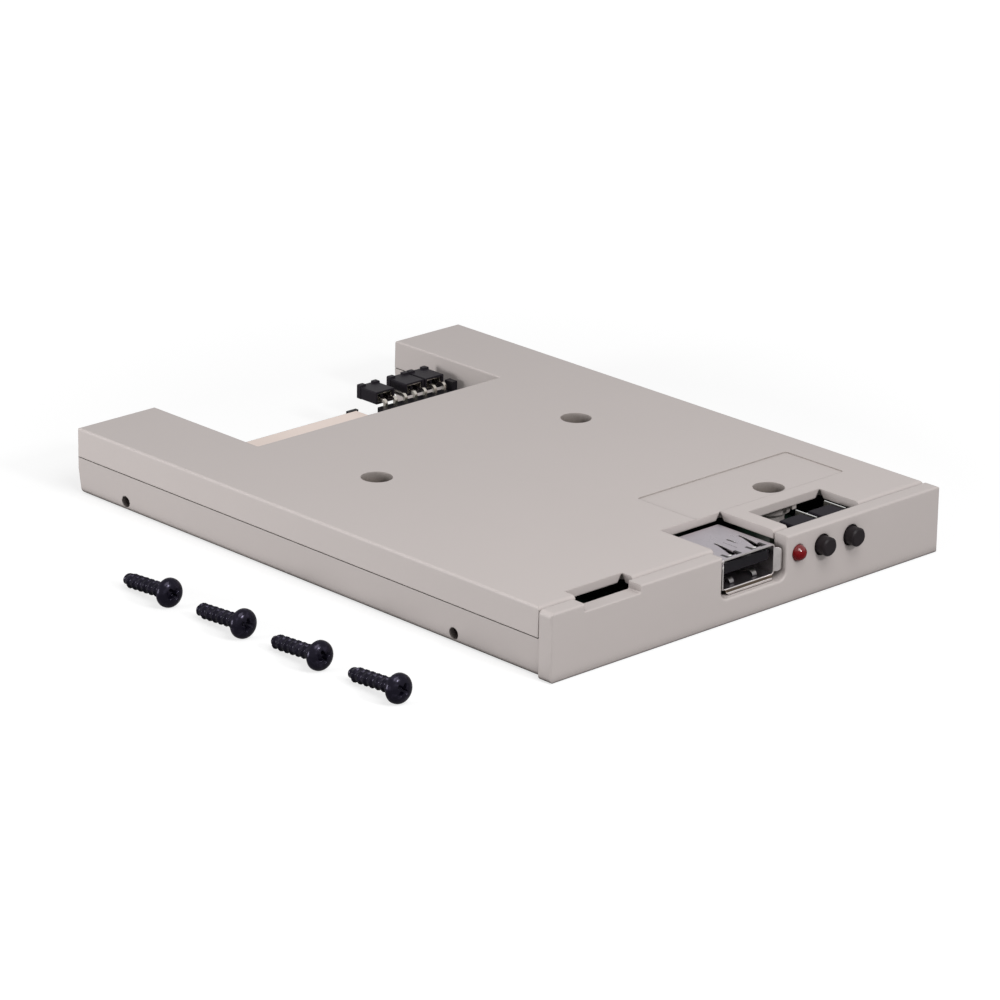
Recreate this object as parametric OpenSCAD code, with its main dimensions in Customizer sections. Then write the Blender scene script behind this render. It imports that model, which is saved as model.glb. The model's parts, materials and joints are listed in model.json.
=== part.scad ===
// A floppy drive emulator in a slim moulded case. The bezel holds a USB socket, a light and two
// push buttons. A notch through the rear of both case halves holds a flat-cable connector and a
// header of bent pins with jumper caps on it. Four mounting screws lie beside the case.
// X runs to the right along the bezel, Y to the rear and Z up. The origin is the middle of the
// case's bottom face, and all lengths are in millimetres.

/* [Case] */
// Width of the case along its parting line
case_w = 96; // [94:0.5:104]
// Length of the case with its bezel
case_l = 126; // [123:0.5:140]
// Height of the case
case_h = 12.7; // [12.6:0.1:14]
// Height of the parting line between the two halves
parting_z = 7.1; // [6.8:0.1:7.4]
// Thickness of the side and notch walls
wall = 1.6; // [1.4:0.1:2]
// Thickness of the cover's top wall
cover_t = 1.6; // [1.2:0.1:1.7]
// Thickness of the floor
floor_t = 1.5; // [1.4:0.1:1.8]
// Draft of the cover's walls in degrees
cover_draft = 1; // [0.5:0.5:2]
// Draft of the lower case's walls in degrees
tray_draft = 4.5; // [2:0.5:5]
// Radius along the cover's top edges
top_r = 0.45; // [0.3:0.05:1.2]
// Radius along the floor's bottom edges
bottom_r = 1; // [0.4:0.05:1.2]
// Radius of the upright corners at the rear
corner_r = 0.6; // [0.4:0.1:1.6]
// Gap that shows between the two halves along the parting line
seam_gap = 0.15; // [0.1:0.05:0.25]
// Thickness of the locating lip that rises inside the seam
lip_t = 0.7; // [0.5:0.05:0.8]
// Height of the locating lip above the parting line
lip_h = 1.2; // [0.8:0.1:1.6]
// Thickness of the stiffening ribs on the cover and the floor
rib_t = 1; // [0.8:0.1:1.4]
// Height of the stiffening ribs
rib_h = 1.1; // [0.8:0.1:1.3]
// Distance between the stiffening ribs
rib_pitch = 24; // [20:1:30]

/* [Bezel] */
// How far the bezel stands out past the case on each side
bezel_proud = 0.5; // [0.2:0.05:0.8]
// Thickness of the bezel
bezel_t = 3; // [2.6:0.1:3.2]
// How far the bezel's top lies below the cover's top
bezel_drop = 0.1; // [0:0.05:0.4]
// Rounding of the bezel's upright front edges
bezel_r = 0.5; // [0.3:0.1:1.3]
// Rounding of the bezel's upper and lower front edges
bezel_edge_r = 0.4; // [0.3:0.1:1]
// Rounding of the mouth of the socket's opening in the bezel
mouth_r = 0.4; // [0.4:0.1:1.1]
// Radius of the bezel's corners seen from the front
bezel_corner_r = 0.9; // [0.5:0.1:1.3]
// Gap between the bezel and the cover's front edge
cover_gap = 0.7; // [0.2:0.05:0.8]
// Rounding of the cover's front edge
cover_edge_r = 0.7; // [0.2:0.05:0.7]

/* [Cover openings] */
// Width of the shallow slot near the bezel's left end
slot_w = 13.3; // [11:0.05:15]
// Distance of the slot's middle from the case's left side
slot_inset = 13.9; // [12:0.1:16]
// Depth of the slot below the cover's top
slot_h = 1.55; // [1.3:0.05:2.2]
// Width of the opening behind the slot, in the cover
slot_cover_w = 13.6; // [11:0.1:14]
// How far that opening's middle lies to the right of the slot's
slot_shift = 1.5; // [0:0.1:2.4]
// Length of the slot's opening in the cover
slot_l = 2.6; // [2:0.1:4]
// Radius of the reliefs under the rear corners of the cover's openings
relief_r = 1; // [0.6:0.1:1.3]
// Clear width of the switch window to the left of the first button
window_left = 5.15; // [4.5:0.05:5.2]
// Clear width of the switch window to the right of the last button
window_right = 5.85; // [4.5:0.05:8]
// Distance of the window's rear edge behind the bezel's front
window_back = 13.2; // [12:0.2:14]
// Width of the label recess
label_w = 38.4; // [34:0.4:40]
// Length of the label recess
label_l = 14.4; // [12:0.4:17]
// Depth of the label recess
label_deep = 0.2; // [0.1:0.05:0.4]
// Distance of the label recess from the case's right side
label_inset = 7; // [5:0.5:9]
// Distance of the label recess behind the bezel's front
label_front = 16.6; // [15:0.2:20]

/* [Rear notch] */
// Width of the notch
notch_w = 60.8; // [58.6:0.2:62]
// Middle of the notch to the right of the case's middle
notch_x = 0.8; // [0:0.1:1.4]
// Depth of the notch from the rear edge
notch_depth = 29.6; // [26:0.05:32]

/* [Case screws] */
// Place of the left screw to the left of the middle
screw_left_x = 24.6; // [20:0.1:30]
// Place of the right screw to the right of the middle
screw_right_x = 25.3; // [20:0.1:30]
// Share of the case's length from the bezel's front to the two rear screws
screw_share = 0.5532; // [0.5:0.0001:0.6]
// Place of the front screw to the right of the middle
screw_front_x = 24.9; // [22:0.1:26]
// Distance of the front screw behind the bezel's front
screw_front_back = 20; // [19:0.1:21]
// Diameter of the counterbores in the cover
cbore_d = 5.8; // [5.7:0.1:6.6]
// Wall of the tubes round the counterbores
tube_wall = 1.1; // [0.8:0.1:1.3]
// Thickness of the seat under each screw head
screw_seat_t = 1.2; // [0.9:0.1:1.4]
// Diameter of the screw heads
head_d = 5.4; // [4.8:0.1:5.5]
// Height of the screw heads
head_h = 1.6; // [1.3:0.1:1.8]
// Diameter of the screw shanks
shank_d = 2.5; // [2.2:0.1:2.8]
// Length of the screw shanks
shank_l = 6; // [5:0.25:6.5]
// Diameter of the screw posts in the lower case
post_d = 6; // [5:0.2:6.6]
// Width of the shoulders that carry the board round the posts
shoulder_w = 1.3; // [1:0.1:1.6]
// Diameter of the side mounting holes
side_hole_d = 2.2; // [1.8:0.1:2.3]
// Depth of the side mounting holes
side_hole_l = 6.5; // [5:0.5:8]
// Height of the side mounting holes
side_hole_z = 1.8; // [1.7:0.05:1.9]
// Distance of the front side holes behind the bezel's front
side_hole_front = 24.7; // [20:0.1:30]
// Distance of the rear side holes from the case's rear
side_hole_rear = 13.5; // [10:0.5:20]
// Width of the bosses round the side holes
side_boss_w = 5; // [4:0.2:6]

/* [Circuit board] */
// Thickness of the board
board_t = 1.6; // [1.2:0.1:1.8]
// Height of the board's rests above the floor
rest_h = 1.9; // [1.7:0.1:2.1]
// Diameter of the board's rests
rest_d = 4; // [3:0.2:5]
// Gap between the board and the case walls
board_gap = 0.5; // [0.3:0.1:0.8]
// Gap between the bezel and the board's front edge
board_front_gap = 0.9; // [0.5:0.1:1.2]
// Length of the board's tail in the rear notch
tail_l = 15.1; // [14:0.05:20]
// Gap between the tail and the notch's sides
tail_gap = 0.6; // [0.4:0.1:1]

/* [USB socket] */
// Place of the socket to the right of the case's middle
usb_x = 0.8; // [-2:0.2:1]
// Width of the socket's shell
shell_w = 13.1; // [12.9:0.1:13.3]
// Height of the socket's shell
shell_h = 5.8; // [5.6:0.1:6]
// Length of the socket's shell
shell_l = 13.25; // [12:0.25:15]
// Thickness of the shell's sheet
shell_t = 0.3; // [0.25:0.05:0.4]
// Radius of the shell's edges
shell_r = 0.7; // [0.5:0.1:0.9]
// Distance of the shell's mouth behind the bezel's front
usb_recess = 1.75; // [1.4:0.05:2]
// How far the flared lips stand out
lip_out = 0.9; // [0.5:0.05:1]
// How far the lower lip stands out
low_lip_out = 0.6; // [0.2:0.05:0.8]
// Gap between the flared lips and the bezel's opening
usb_gap = 0.3; // [0.05:0.05:0.4]
// How much further the bezel's opening reaches to the left of the socket
usb_spare = 0.6; // [0:0.1:1]
// Gap to the left of the socket in the cover's cut-out
cut_left = 0.3; // [0.2:0.1:1.6]
// Gap to the right of the socket in the cover's cut-out
cut_right = 1.6; // [0.8:0.1:2]
// Radius of the opening's lower corners
usb_corner_r = 1.5; // [0.8:0.1:1.6]
// Height of the shell above the board
usb_lift = 0.4; // [0.15:0.05:0.5]
// Clear length behind the shell in the cover's cut-out
usb_back_gap = 1.65; // [1.2:0.05:2]
// Length of the spring fingers in the shell's top
finger_l = 6.2; // [5.4:0.2:7]
// Width of a spring finger at its root
finger_w = 2.6; // [2:0.1:3]
// Width of a spring finger at its tip
finger_tip_w = 1.5; // [1:0.1:1.9]
// Distance of each spring finger's middle from the shell's middle
finger_x = 3.05; // [2.6:0.05:3.3]
// How far a spring finger's tip dips into the shell
finger_dip = 0.65; // [0.3:0.05:0.7]
// Thickness of the socket's tongue
tongue_t = 1.84; // [1.6:0.04:1.96]
// Gap between the socket's tongue and its shell on each side
tongue_gap = 0.7; // [0.6:0.05:1]

/* [Light and buttons] */
// Height of the light and the buttons above the board
control_h = 3.95; // [3.8:0.05:4.05]
// Place of the light to the right of the case's middle
led_x = 11.55; // [11:0.05:11.7]
// Diameter of the light
led_d = 3; // [2.8:0.1:3.2]
// Place of the first button to the right of the case's middle
button_x = 17.65; // [17.6:0.05:19]
// Distance between the two buttons
button_pitch = 7.4; // [7.2:0.1:9]
// Diameter of the button stems
stem_d = 3.45; // [3:0.05:3.5]
// How far the stems stand out of the bezel
stem_out = 2.05; // [1:0.05:2.5]
// Travel of the buttons
button_travel = 0.3; // [0.2:0.05:0.4]
// Gap round a stem in its bezel hole
stem_gap = 0.25; // [0.15:0.05:0.4]
// Width and height of a switch body
switch_w = 6; // [5.8:0.1:6.2]
// Depth of a switch body
switch_l = 3.5; // [3.2:0.1:3.9]
// Gap between the bezel and the switch bodies
switch_gap = 1.2; // [1:0.1:1.5]
// Thickness of the switch brackets
bracket_t = 0.3; // [0.2:0.05:0.4]
// Length of the switch brackets
bracket_l = 5.1; // [4.8:0.1:5.6]
// How far a bracket's right side rises past the switch body's top
bracket_rise = 0.1; // [0:0.05:0.2]

/* [Flat-cable connector] */
// Contacts in the flat-cable connector
cable_count = 26; // [20:1:26]
// Share of the board's tail that the connector's housing takes
cable_share = 0.5201; // [0.5:0.0001:0.53]
// Gap between the connector and the left side of the board's tail
cable_side_gap = 4.5; // [4:0.1:6]
// Housing on each side of the outer contacts
cable_end = 3; // [2.6:0.1:3.4]
// Depth of the connector's housing
cable_l = 5; // [4.5:0.1:6]
// Height of the connector's housing
cable_h = 2.7; // [2.6:0.1:3.4]
// Distance of the housing's rear face from the board's rear edge
cable_inset = 1.1; // [0.8:0.1:2]
// Height of the mouth above the board
mouth_z = 0.8; // [0.6:0.05:1]
// Height of the mouth
mouth_h = 1.3; // [1.2:0.05:1.5]
// Depth of the mouth
mouth_l = 3.4; // [3:0.1:4]
// Travel of the slider
slider_travel = 1.2; // [0.8:0.1:1.5]
// Thickness of the slider's rear bar
slider_bar = 0.8; // [0.6:0.1:1.6]
// Thickness of the slider's arms
slider_arm = 0.5; // [0.4:0.1:1.1]
// Slit for the cable between the slider and the mouth's floor
cable_slit = 0.4; // [0.3:0.05:0.5]
// Length of the hooks over the housing's front corners
hook_l = 1; // [0.8:0.1:2.6]
// Thickness of the slider's hooks above the housing
hook_t = 0.2; // [0.2:0.05:0.5]

/* [Jumper header] */
// Share of the board's tail that the header takes
header_share = 0.2983; // [0.28:0.0001:0.31]
// Gap between the header and the right side of the board's tail
header_side_gap = 1.61; // [1:0.01:2]
// Thickness of the pins
pin_w = 0.64; // [0.5:0.02:0.7]
// Depth of the header's base
base_l = 2.5; // [2.3:0.1:3]
// Height of the header's base
base_h = 2.65; // [2.2:0.05:2.8]
// Height of the plain block at the header's right end
end_block_h = 4.6; // [2.8:0.1:5]
// Distance of the pins from the board's rear edge
header_inset = 3.4; // [3:0.1:4.5]
// Height of the pins' level stretch above the base
pin_rise = 1.4; // [1.2:0.05:2.2]
// Length of the pins behind the base
pin_l = 5.3; // [4.5:0.05:5.5]
// Gap between the base and the jumper caps
cap_gap = 0.25; // [0.05:0.05:0.5]
// Gap between neighbouring jumper caps
cap_side_gap = 0.08; // [0.04:0.02:0.2]
// Height of a jumper cap
cap_h = 2.45; // [2.3:0.05:2.8]
// How far a jumper cap's middle stands above the pins
cap_lift = 0.3; // [0:0.05:0.35]
// Length of a jumper cap
cap_l = 5.3; // [5:0.1:6]
// Length of the grip at a cap's rear
grip_l = 1; // [0.6:0.1:1.4]
// How far the grip stands above a cap
grip_h = 0.35; // [0.2:0.05:0.8]
// How far the grip stands out on each side of a cap
grip_side = 0.12; // [0:0.02:0.2]
// Width of the gap between the grip's two ears
grip_gap = 2.2; // [1.4:0.1:2.4]
// Thickness of the clips in the caps
clip_t = 0.25; // [0.15:0.05:0.3]

/* [Loose screws] */
// Diameter of a mounting screw's head
loose_head_d = 4.9; // [4.5:0.1:6]
// Height of a mounting screw's head
loose_head_h = 1.9; // [1.6:0.1:2.4]
// Diameter of a mounting screw's thread
loose_d = 2.6; // [2.4:0.1:3.1]
// Length of a mounting screw under its head
loose_l = 12.5; // [8:0.5:14]
// Distance of the mounting screws from the case's left side
loose_gap = 25.1; // [15:0.1:35]
// Distance of the rearmost head behind the bezel's front
loose_back = 70.1; // [66:0.1:80]
// Distance from one mounting screw to the next
loose_pitch = 19.65; // [16:0.05:22]
// Angle by which the mounting screws point toward the case
loose_turn = 4.7; // [0:0.1:10]

/* [Hidden] */
$fn = 48;

CASE_GREY = [0.78, 0.76, 0.75];
BOARD_GREEN = [0.2, 0.34, 0.28];
STEEL = [0.8, 0.8, 0.8];
TIN = [0.85, 0.84, 0.8];
BLACK = [0.1, 0.1, 0.11];
CREAM = [0.9, 0.85, 0.78];
LED_RED = [0.55, 0.04, 0.05];

// One overrun serves every cut
over = 1;
// Clearance between pieces that seat in each other
fit_gap = 0.1;
// Overlap of two volumes that are fused into one piece
fuse = 0.2;

// Case
front_y = -case_l / 2;
rear_y = case_l / 2;
bezel_back = front_y + bezel_t;
cover_front = bezel_back + cover_gap;
notch_y = rear_y - notch_depth;
cover_z = parting_z + seam_gap;
ceiling_z = case_h - cover_t;
bezel_z = case_h - bezel_drop;
slot_x = slot_inset - case_w / 2;
slot_z = case_h - slot_h;
slot_corner_r = 0.3;
slot_edge_r = 0.2;
slot_cover_x = slot_x + slot_shift;
notch_corner_r = 0.3;
notch_edge_r = 0.3;
label_corner_r = 0.6;
label_x1 = case_w / 2 - label_inset;
label_y0 = front_y + label_front;
window_x0 = button_x - window_left;
window_x1 = button_x + button_pitch + window_right;
window_corner_r = 0.3;
window_y1 = front_y + window_back;
ribs_y0 = label_y0 + label_l;
rib_count = floor((notch_y - wall - ribs_y0) / rib_pitch);

// Board
board_z = floor_t + rest_h;
board_top = board_z + board_t;
board_front = bezel_back + board_front_gap;
board_rear = notch_y + tail_l;
board_x = case_w / 2 - wall - board_gap;
board_y1 = notch_y - wall - board_gap;
board_l = board_y1 - board_front;
tail_x0 = notch_x - notch_w / 2 + tail_gap;
tail_x1 = notch_x + notch_w / 2 - tail_gap;
tail_w = tail_x1 - tail_x0;
solder_l = 0.8;
solder_gap = 0.15;
rest_inset = 5;
side_boss_gap = 0.2;
side_boss_wall = 1;
side_hole_pitch = case_l - side_hole_front - side_hole_rear;

// Case screws
head_sink = 1.9;
seat_z = case_h - head_sink - head_h;
post_z = seat_z - screw_seat_t;
shank_gap = 0.05;
cover_hole_gap = 0.35;
pilot_spare = 0.6;
head_round = 0.7;
cross_w = 0.8;
cross_l = 2.8;
cross_deep = 0.9;
shank_tip = 0.8;
fin_l = 2.4;
fin_h = 1;
screw_places = [
  [-screw_left_x, front_y + screw_share * case_l],
  [screw_right_x, front_y + screw_share * case_l],
  [screw_front_x, front_y + screw_front_back]
];

// USB socket
usb_y = front_y + usb_recess;
usb_z = board_top + usb_lift;
usb_opening_w = shell_w + 2 * lip_out + 2 * usb_gap + usb_spare;
usb_opening_x = usb_x - usb_spare / 2;
usb_opening_z = usb_z - low_lip_out - fit_gap;
usb_back = usb_y + shell_l;
finger_front = 0.7;
finger_gap = 0.45;
finger_bend = 1.2;
finger_toe = 1;
finger_curl = 0.22;
seam_w = 0.12;
seam_l0 = 2.9;
seam_l1 = 6.3;
seam_deep = 0.12;
lip_r = 0.6;
tab_w = 1.6;
tab_places = [2.6, 8.2];
tongue_recess = 0.5;
tongue_drop = 0.75;
tongue_z = shell_h - shell_t - tongue_drop - tongue_t;
tongue_w = shell_w - 2 * shell_t - 2 * tongue_gap;
insulator_l = 4.2;
contact_w = 1;
contact_t = 0.25;
contact_inset = 0.7;
contact_places = [-3.5, -1, 1, 3.5];
contact_back = 0.5;
contact_hole_r = 0.65;

// Light, buttons and switches
control_z = board_top + control_h;
flange_w = 0.35;
flange_l = 1;
led_gap = 0.05;
led_body_l = bezel_t + fit_gap;
lead_d = 0.5;
lead_pitch = 2.54;
lead_run = 1.4;
lead_y = front_y + led_body_l + flange_l + lead_run;
switch_y = bezel_back + switch_gap;
switch_r = 0.4;
stem_grip = 0.8;
stem_chamfer = 0.3;
stem_recess = stem_grip + button_travel + fit_gap;
bracket_front = 0.2;
bracket_x = switch_w / 2 + fit_gap / 2;
bracket_back_z0 = 0.8;
bracket_back_z1 = 0.4;
leg_w = 0.9;
terminal_w = 0.7;
terminal_t = 0.3;
terminal_x = 2.25;
terminal_y = 0.9;
terminal_hole_r = 0.5;

// Flat-cable connector
cable_y = board_rear - cable_inset - cable_l;
cable_half = cable_share * tail_w / 2;
cable_pitch = 2 * (cable_half - cable_end) / (cable_count - 1);
cable_chamfer = 0.3;
mouth_end = 1.8;
mouth_half = cable_half - mouth_end;
cable_contact_w = 0.4;
cable_contact_t = 0.2;
cable_tail_l = 1;
cable_rise_y = 1.8;
cable_spring_l = 1.8;
slider_gap = 0.1;
slider_hold = 0.7;
slider_insert = slider_travel + slider_hold;
slider_z0 = 0.4;
slider_z1 = 2.3;
slider_ear = 2.4;
hook_w = 1.5;
slider_half = cable_half + slider_gap + slider_arm;
cable_x = tail_x0 + cable_side_gap + slider_half;

// Jumper header and caps
PIN_COUNT = 7;
CAP_FIRST_PINS = [0, 3, 5];
pin_pitch = header_share * tail_w / PIN_COUNT;
header_x = tail_x1 - header_side_gap - header_share * tail_w / 2;
header_y = board_rear - header_inset;
base_chamfer = 0.4;
end_block_gap = 0.7;
pin_bend_r = 0.3;
pin_z = base_h + pin_rise;
pin_hole_r = 0.5;
cap_w = 2 * pin_pitch - cap_side_gap;
cap_y = header_y + base_l / 2 + cap_gap;
cap_r = 0.25;
clip_gap = 0.08;
clip_inset = 0.3;
cap_z0 = cap_lift - cap_h / 2;
cap_z1 = cap_lift + cap_h / 2;
roof_t = 0.35;
cavity_z0 = -pin_w / 2 - clip_gap - clip_t - fit_gap / 2;
cavity_z1 = cap_z1 - roof_t;
cavity_w = pin_pitch + pin_w + 2 * clip_gap + 2 * clip_t + fit_gap;
divider_w = 0.6;
divider_inset = 1;
clip_l = cap_l - 2 * clip_inset;

// Parts on the board
mcu_w = 10;
mcu_h = 1.4;
mcu_x = -4;
mcu_share = 0.508;
mcu_leads = 11;
mcu_lead_pitch = 0.8;
mcu_lead_w = 0.35;
mcu_lead_l = 1;
mcu_lead_t = 0.15;
chip_chamfer = 0.3;
buffer_w = 7.5;
buffer_l = 12.8;
buffer_h = 2.3;
buffer_x = 4;
buffer_share = 0.713;
buffer_leads = 10;
buffer_pitch = 1.27;
crystal_w = 4.7;
crystal_l = 11;
crystal_h = 3.5;
crystal_flange = 0.5;
crystal_flange_t = 0.4;
crystal_x = -18;
regulator_w = 6.5;
regulator_l = 3.5;
regulator_h = 1.7;
regulator_x = -14;
regulator_share = 0.265;
regulator_lead_w = 0.75;
regulator_pitch = 2.3;
regulator_lead_l = 1.6;
chip_w = 1.25;
chip_l = 2;
chip_h = 0.7;
chip_pitch = 3.4;
chip_rows = [[-22, 0.442, 6], [12, 0.574, 5], [-14, 0.817, 4]];
window_chip_x = 1.5;
window_chip_back = 10.6;

// Loose screws
loose_round = 0.9;
loose_tip_l = 1.4;
loose_tip_r = 0.5;
loose_cross_w = 0.8;
loose_cross_l = 2.7;
loose_cross_deep = 1.2;
loose_count = 4;
loose_tilt = atan((loose_head_d / 2 - loose_d / 2) / (loose_l - loose_tip_l));
loose_x = -case_w / 2 - loose_gap;
loose_z = loose_head_d / 2 * cos(loose_tilt);

// A shape drawn in X and Z, carried along Y
module along_y(y0, y1) {
  translate([0, y1, 0])
    rotate([90, 0, 0])
      linear_extrude(y1 - y0)
        children();
}

// A shape drawn in Y and Z, carried along X
module along_x(x0, x1) {
  translate([x0, 0, 0])
    rotate([90, 0, 90])
      linear_extrude(x1 - x0)
        children();
}

// A shape drawn in X and Y, carried up
module upright(z0, z1) {
  translate([0, 0, z0])
    linear_extrude(z1 - z0)
      children();
}

module box(x0, x1, y0, y1, z0, z1) {
  translate([x0, y0, z0])
    cube([x1 - x0, y1 - y0, z1 - z0]);
}

// A rectangle with a radius of its own at each corner: lower left, lower right, upper right, upper left
module round_rect(x0, x1, y0, y1, r0, r1, r2, r3) {
  polygon(concat(
    r0 > 0 ? [[x0, y0 + r0], [x0 + r0, y0]] : [[x0, y0]],
    r1 > 0 ? [[x1 - r1, y0], [x1, y0 + r1]] : [[x1, y0]],
    r2 > 0 ? [[x1, y1 - r2], [x1 - r2, y1]] : [[x1, y1]],
    r3 > 0 ? [[x0 + r3, y1], [x0, y1 - r3]] : [[x0, y1]]
  ));
  if (r0 > 0) translate([x0 + r0, y0 + r0]) circle(r0);
  if (r1 > 0) translate([x1 - r1, y0 + r1]) circle(r1);
  if (r2 > 0) translate([x1 - r2, y1 - r2]) circle(r2);
  if (r3 > 0) translate([x0 + r3, y1 - r3]) circle(r3);
}

// Half of a moulded shell in section, from the parting line at 0 up to h, with a draft of a degrees
// on its sides and a radius r at its far corners
module drafted(half_w, h, r, a) {
  cy = h - r;
  cx = half_w - cy * tan(a) - r / cos(a);
  tx = cx + r * cos(a);
  ty = cy + r * sin(a);
  polygon([[-half_w, 0], [half_w, 0], [tx, ty], [cx, h], [-cx, h], [-tx, ty]]);
  for (s = [-1, 1])
    translate([s * cx, cy])
      circle(r);
}

// One side of a cut's section: a wide from the middle, deep from the mouth at 0, and opening out
// at the mouth round a radius r
module flare(a, deep, r) {
  translate([0, -over])
    square([a, deep + over]);
  difference() {
    translate([0, -over])
      square([a + r, r + over]);
    translate([a + r, r])
      circle(r);
  }
}

// A cut with its mouth at y 0 and its floor at z 0, open at the top, with lower corners of radius
// rc and the edges of its mouth rounded by r
module mouth_cut(w, open_h, deep, rc, r) {
  upright(rc, open_h)
    for (s = [0, 1])
      mirror([s, 0])
        flare(w / 2, deep, r);
  along_x(rc - w / 2, w / 2 - rc)
    translate([0, rc])
      rotate(-90)
        flare(rc, deep, r);
  for (s = [-1, 1])
    translate([s * (w / 2 - rc), 0, rc])
      rotate([-90, 0, 0])
        rotate_extrude()
          flare(rc, deep, r);
}

// The case's inside seen from above, drawn in by the given inset from its outer sides
module inside_plan(inset, y0) {
  difference() {
    translate([inset - case_w / 2, y0])
      square([case_w - 2 * inset, rear_y - inset - y0]);
    translate([notch_x - notch_w / 2 - inset, notch_y - inset])
      square([notch_w + 2 * inset, notch_depth + inset + over]);
  }
}

module at_screws() {
  for (p = screw_places)
    translate([p[0], p[1], 0])
      children();
}

// Four fins round a post
module fins(r, z0, z1) {
  for (a = [0, 90])
    rotate(a)
      box(-r - fin_l, r + fin_l, -rib_t / 2, rib_t / 2, z0, z1);
}

module ribs(z0, z1) {
  for (i = [1:rib_count])
    let (y = ribs_y0 + (i - 1 / 2) * rib_pitch)
      box(wall / 2 - case_w / 2, case_w / 2 - wall / 2, y, y + rib_t, z0, z1);
}

module bezel_blank() {
  half = case_w / 2 + bezel_proud;
  intersection() {
    along_y(front_y, bezel_back)
      round_rect(-half, half, 0, bezel_z, bezel_corner_r, bezel_corner_r, bezel_corner_r, bezel_corner_r);
    along_x(-half, half)
      round_rect(front_y, bezel_back, 0, bezel_z, bezel_edge_r, 0, 0, bezel_edge_r);
    upright(0, bezel_z)
      round_rect(-half, half, front_y, bezel_back, bezel_r, bezel_r, 0, 0);
  }
}

module tray_blank() {
  y0 = bezel_back - fuse;
  intersection() {
    translate([0, 0, parting_z])
      mirror([0, 0, 1])
        along_y(y0, rear_y)
          drafted(case_w / 2, parting_z, bottom_r, tray_draft);
    translate([0, 0, parting_z])
      mirror([0, 0, 1])
        along_x(-case_w / 2, case_w / 2)
          drafted(rear_y, parting_z, bottom_r, tray_draft);
    upright(0, parting_z)
      round_rect(-case_w / 2, case_w / 2, y0, rear_y, 0, 0, corner_r, corner_r);
  }
}

module cover_blank() {
  intersection() {
    translate([0, 0, cover_z])
      along_y(cover_front, rear_y)
        drafted(case_w / 2, case_h - cover_z, top_r, cover_draft);
    translate([0, 0, cover_z])
      along_x(-case_w / 2, case_w / 2)
        drafted(rear_y, case_h - cover_z, top_r, cover_draft);
    along_x(-case_w / 2, case_w / 2)
      round_rect(cover_front, rear_y, cover_z, case_h, 0, 0, 0, cover_edge_r);
    upright(cover_z, case_h)
      round_rect(-case_w / 2, case_w / 2, cover_front, rear_y, 0, 0, corner_r, corner_r);
  }
}

// A screw boss against each side wall, round the side mounting holes
module side_bosses() {
  top = board_z - side_boss_gap;
  r = side_boss_w / 2;
  x0 = case_w / 2 - wall - fuse;
  x1 = case_w / 2 - side_hole_l - side_boss_wall + r;
  for (y = [0, side_hole_pitch])
    for (s = [-1, 1])
      translate([0, front_y + side_hole_front + y, 0]) {
        box(min(s * x0, s * x1), max(s * x0, s * x1), -r, r, floor_t - fuse, top);
        translate([s * x1, 0, floor_t - fuse])
          cylinder(h = top - floor_t + fuse, r = r);
      }
}

module side_holes() {
  for (y = [0, side_hole_pitch])
    for (s = [0, 1])
      mirror([s, 0, 0])
        translate([case_w / 2 - side_hole_l, front_y + side_hole_front + y, side_hole_z])
          rotate([0, 90, 0])
            cylinder(h = side_hole_l + over, d = side_hole_d);
}

module board_rests() {
  x = case_w / 2 - wall - rest_inset - rest_d / 2;
  for (s = [-1, 1])
    for (y = [board_front + rest_inset, board_y1 - rest_inset])
      translate([s * x, y, floor_t - fuse])
        cylinder(h = rest_h + fuse, d = rest_d);
}

module lower_case() {
  color(CASE_GREY)
    difference() {
      union() {
        bezel_blank();
        difference() {
          tray_blank();
          upright(floor_t, parting_z + over)
            inside_plan(wall, bezel_back - fuse);
        }
        difference() {
          upright(floor_t, parting_z + lip_h)
            inside_plan(wall - lip_t, bezel_back - fuse);
          upright(floor_t - over, parting_z + lip_h + over)
            inside_plan(wall, bezel_back - over);
        }
        at_screws() {
          cylinder(h = post_z, d = post_d);
          cylinder(h = board_z, d = post_d + 2 * shoulder_w);
          fins(post_d / 2 + shoulder_w, floor_t - fuse, floor_t + fin_h);
        }
        board_rests();
        side_bosses();
        ribs(floor_t - fuse, floor_t + rib_h);
      }
      translate([usb_opening_x, front_y, usb_opening_z])
        mouth_cut(usb_opening_w, case_h, bezel_t + over, usb_corner_r, mouth_r);
      translate([slot_x, front_y, slot_z])
        mouth_cut(slot_w, case_h, bezel_t + over, slot_corner_r, slot_edge_r);
      translate([led_x, front_y - over, control_z])
        rotate([-90, 0, 0])
          cylinder(h = bezel_t + 2 * over, r = led_d / 2 + led_gap);
      for (i = [0, 1])
        translate([button_x + i * button_pitch, front_y - over, control_z])
          rotate([-90, 0, 0])
            cylinder(h = bezel_t + 2 * over, r = stem_d / 2 + stem_gap);
      at_screws()
        translate([0, 0, seat_z - shank_l - pilot_spare])
          cylinder(h = shank_l + pilot_spare + over, r = shank_d / 2 + shank_gap);
      side_holes();
      translate([notch_x, notch_y, 0])
        rotate([90, 0, 180])
          mouth_cut(notch_w, notch_depth + over, case_h, notch_corner_r, notch_edge_r);
      box(tail_x0 - board_gap, tail_x1 + board_gap, notch_y - wall - over, notch_y + over,
          board_z - board_gap / 2, case_h);
    }
}

// An opening through the cover from its front edge back to y1, its rear corners relieved from below
module cover_opening(x0, x1, y1) {
  r = window_corner_r;
  upright(ceiling_z - over, case_h + over)
    round_rect(x0, x1, cover_front - over, y1, 0, 0, r, r);
  for (x = [x0, x1])
    translate([x, y1, ceiling_z - over])
      cylinder(h = cover_t + over, r1 = relief_r * (cover_t + over) / cover_t, r2 = 0);
}

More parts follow.
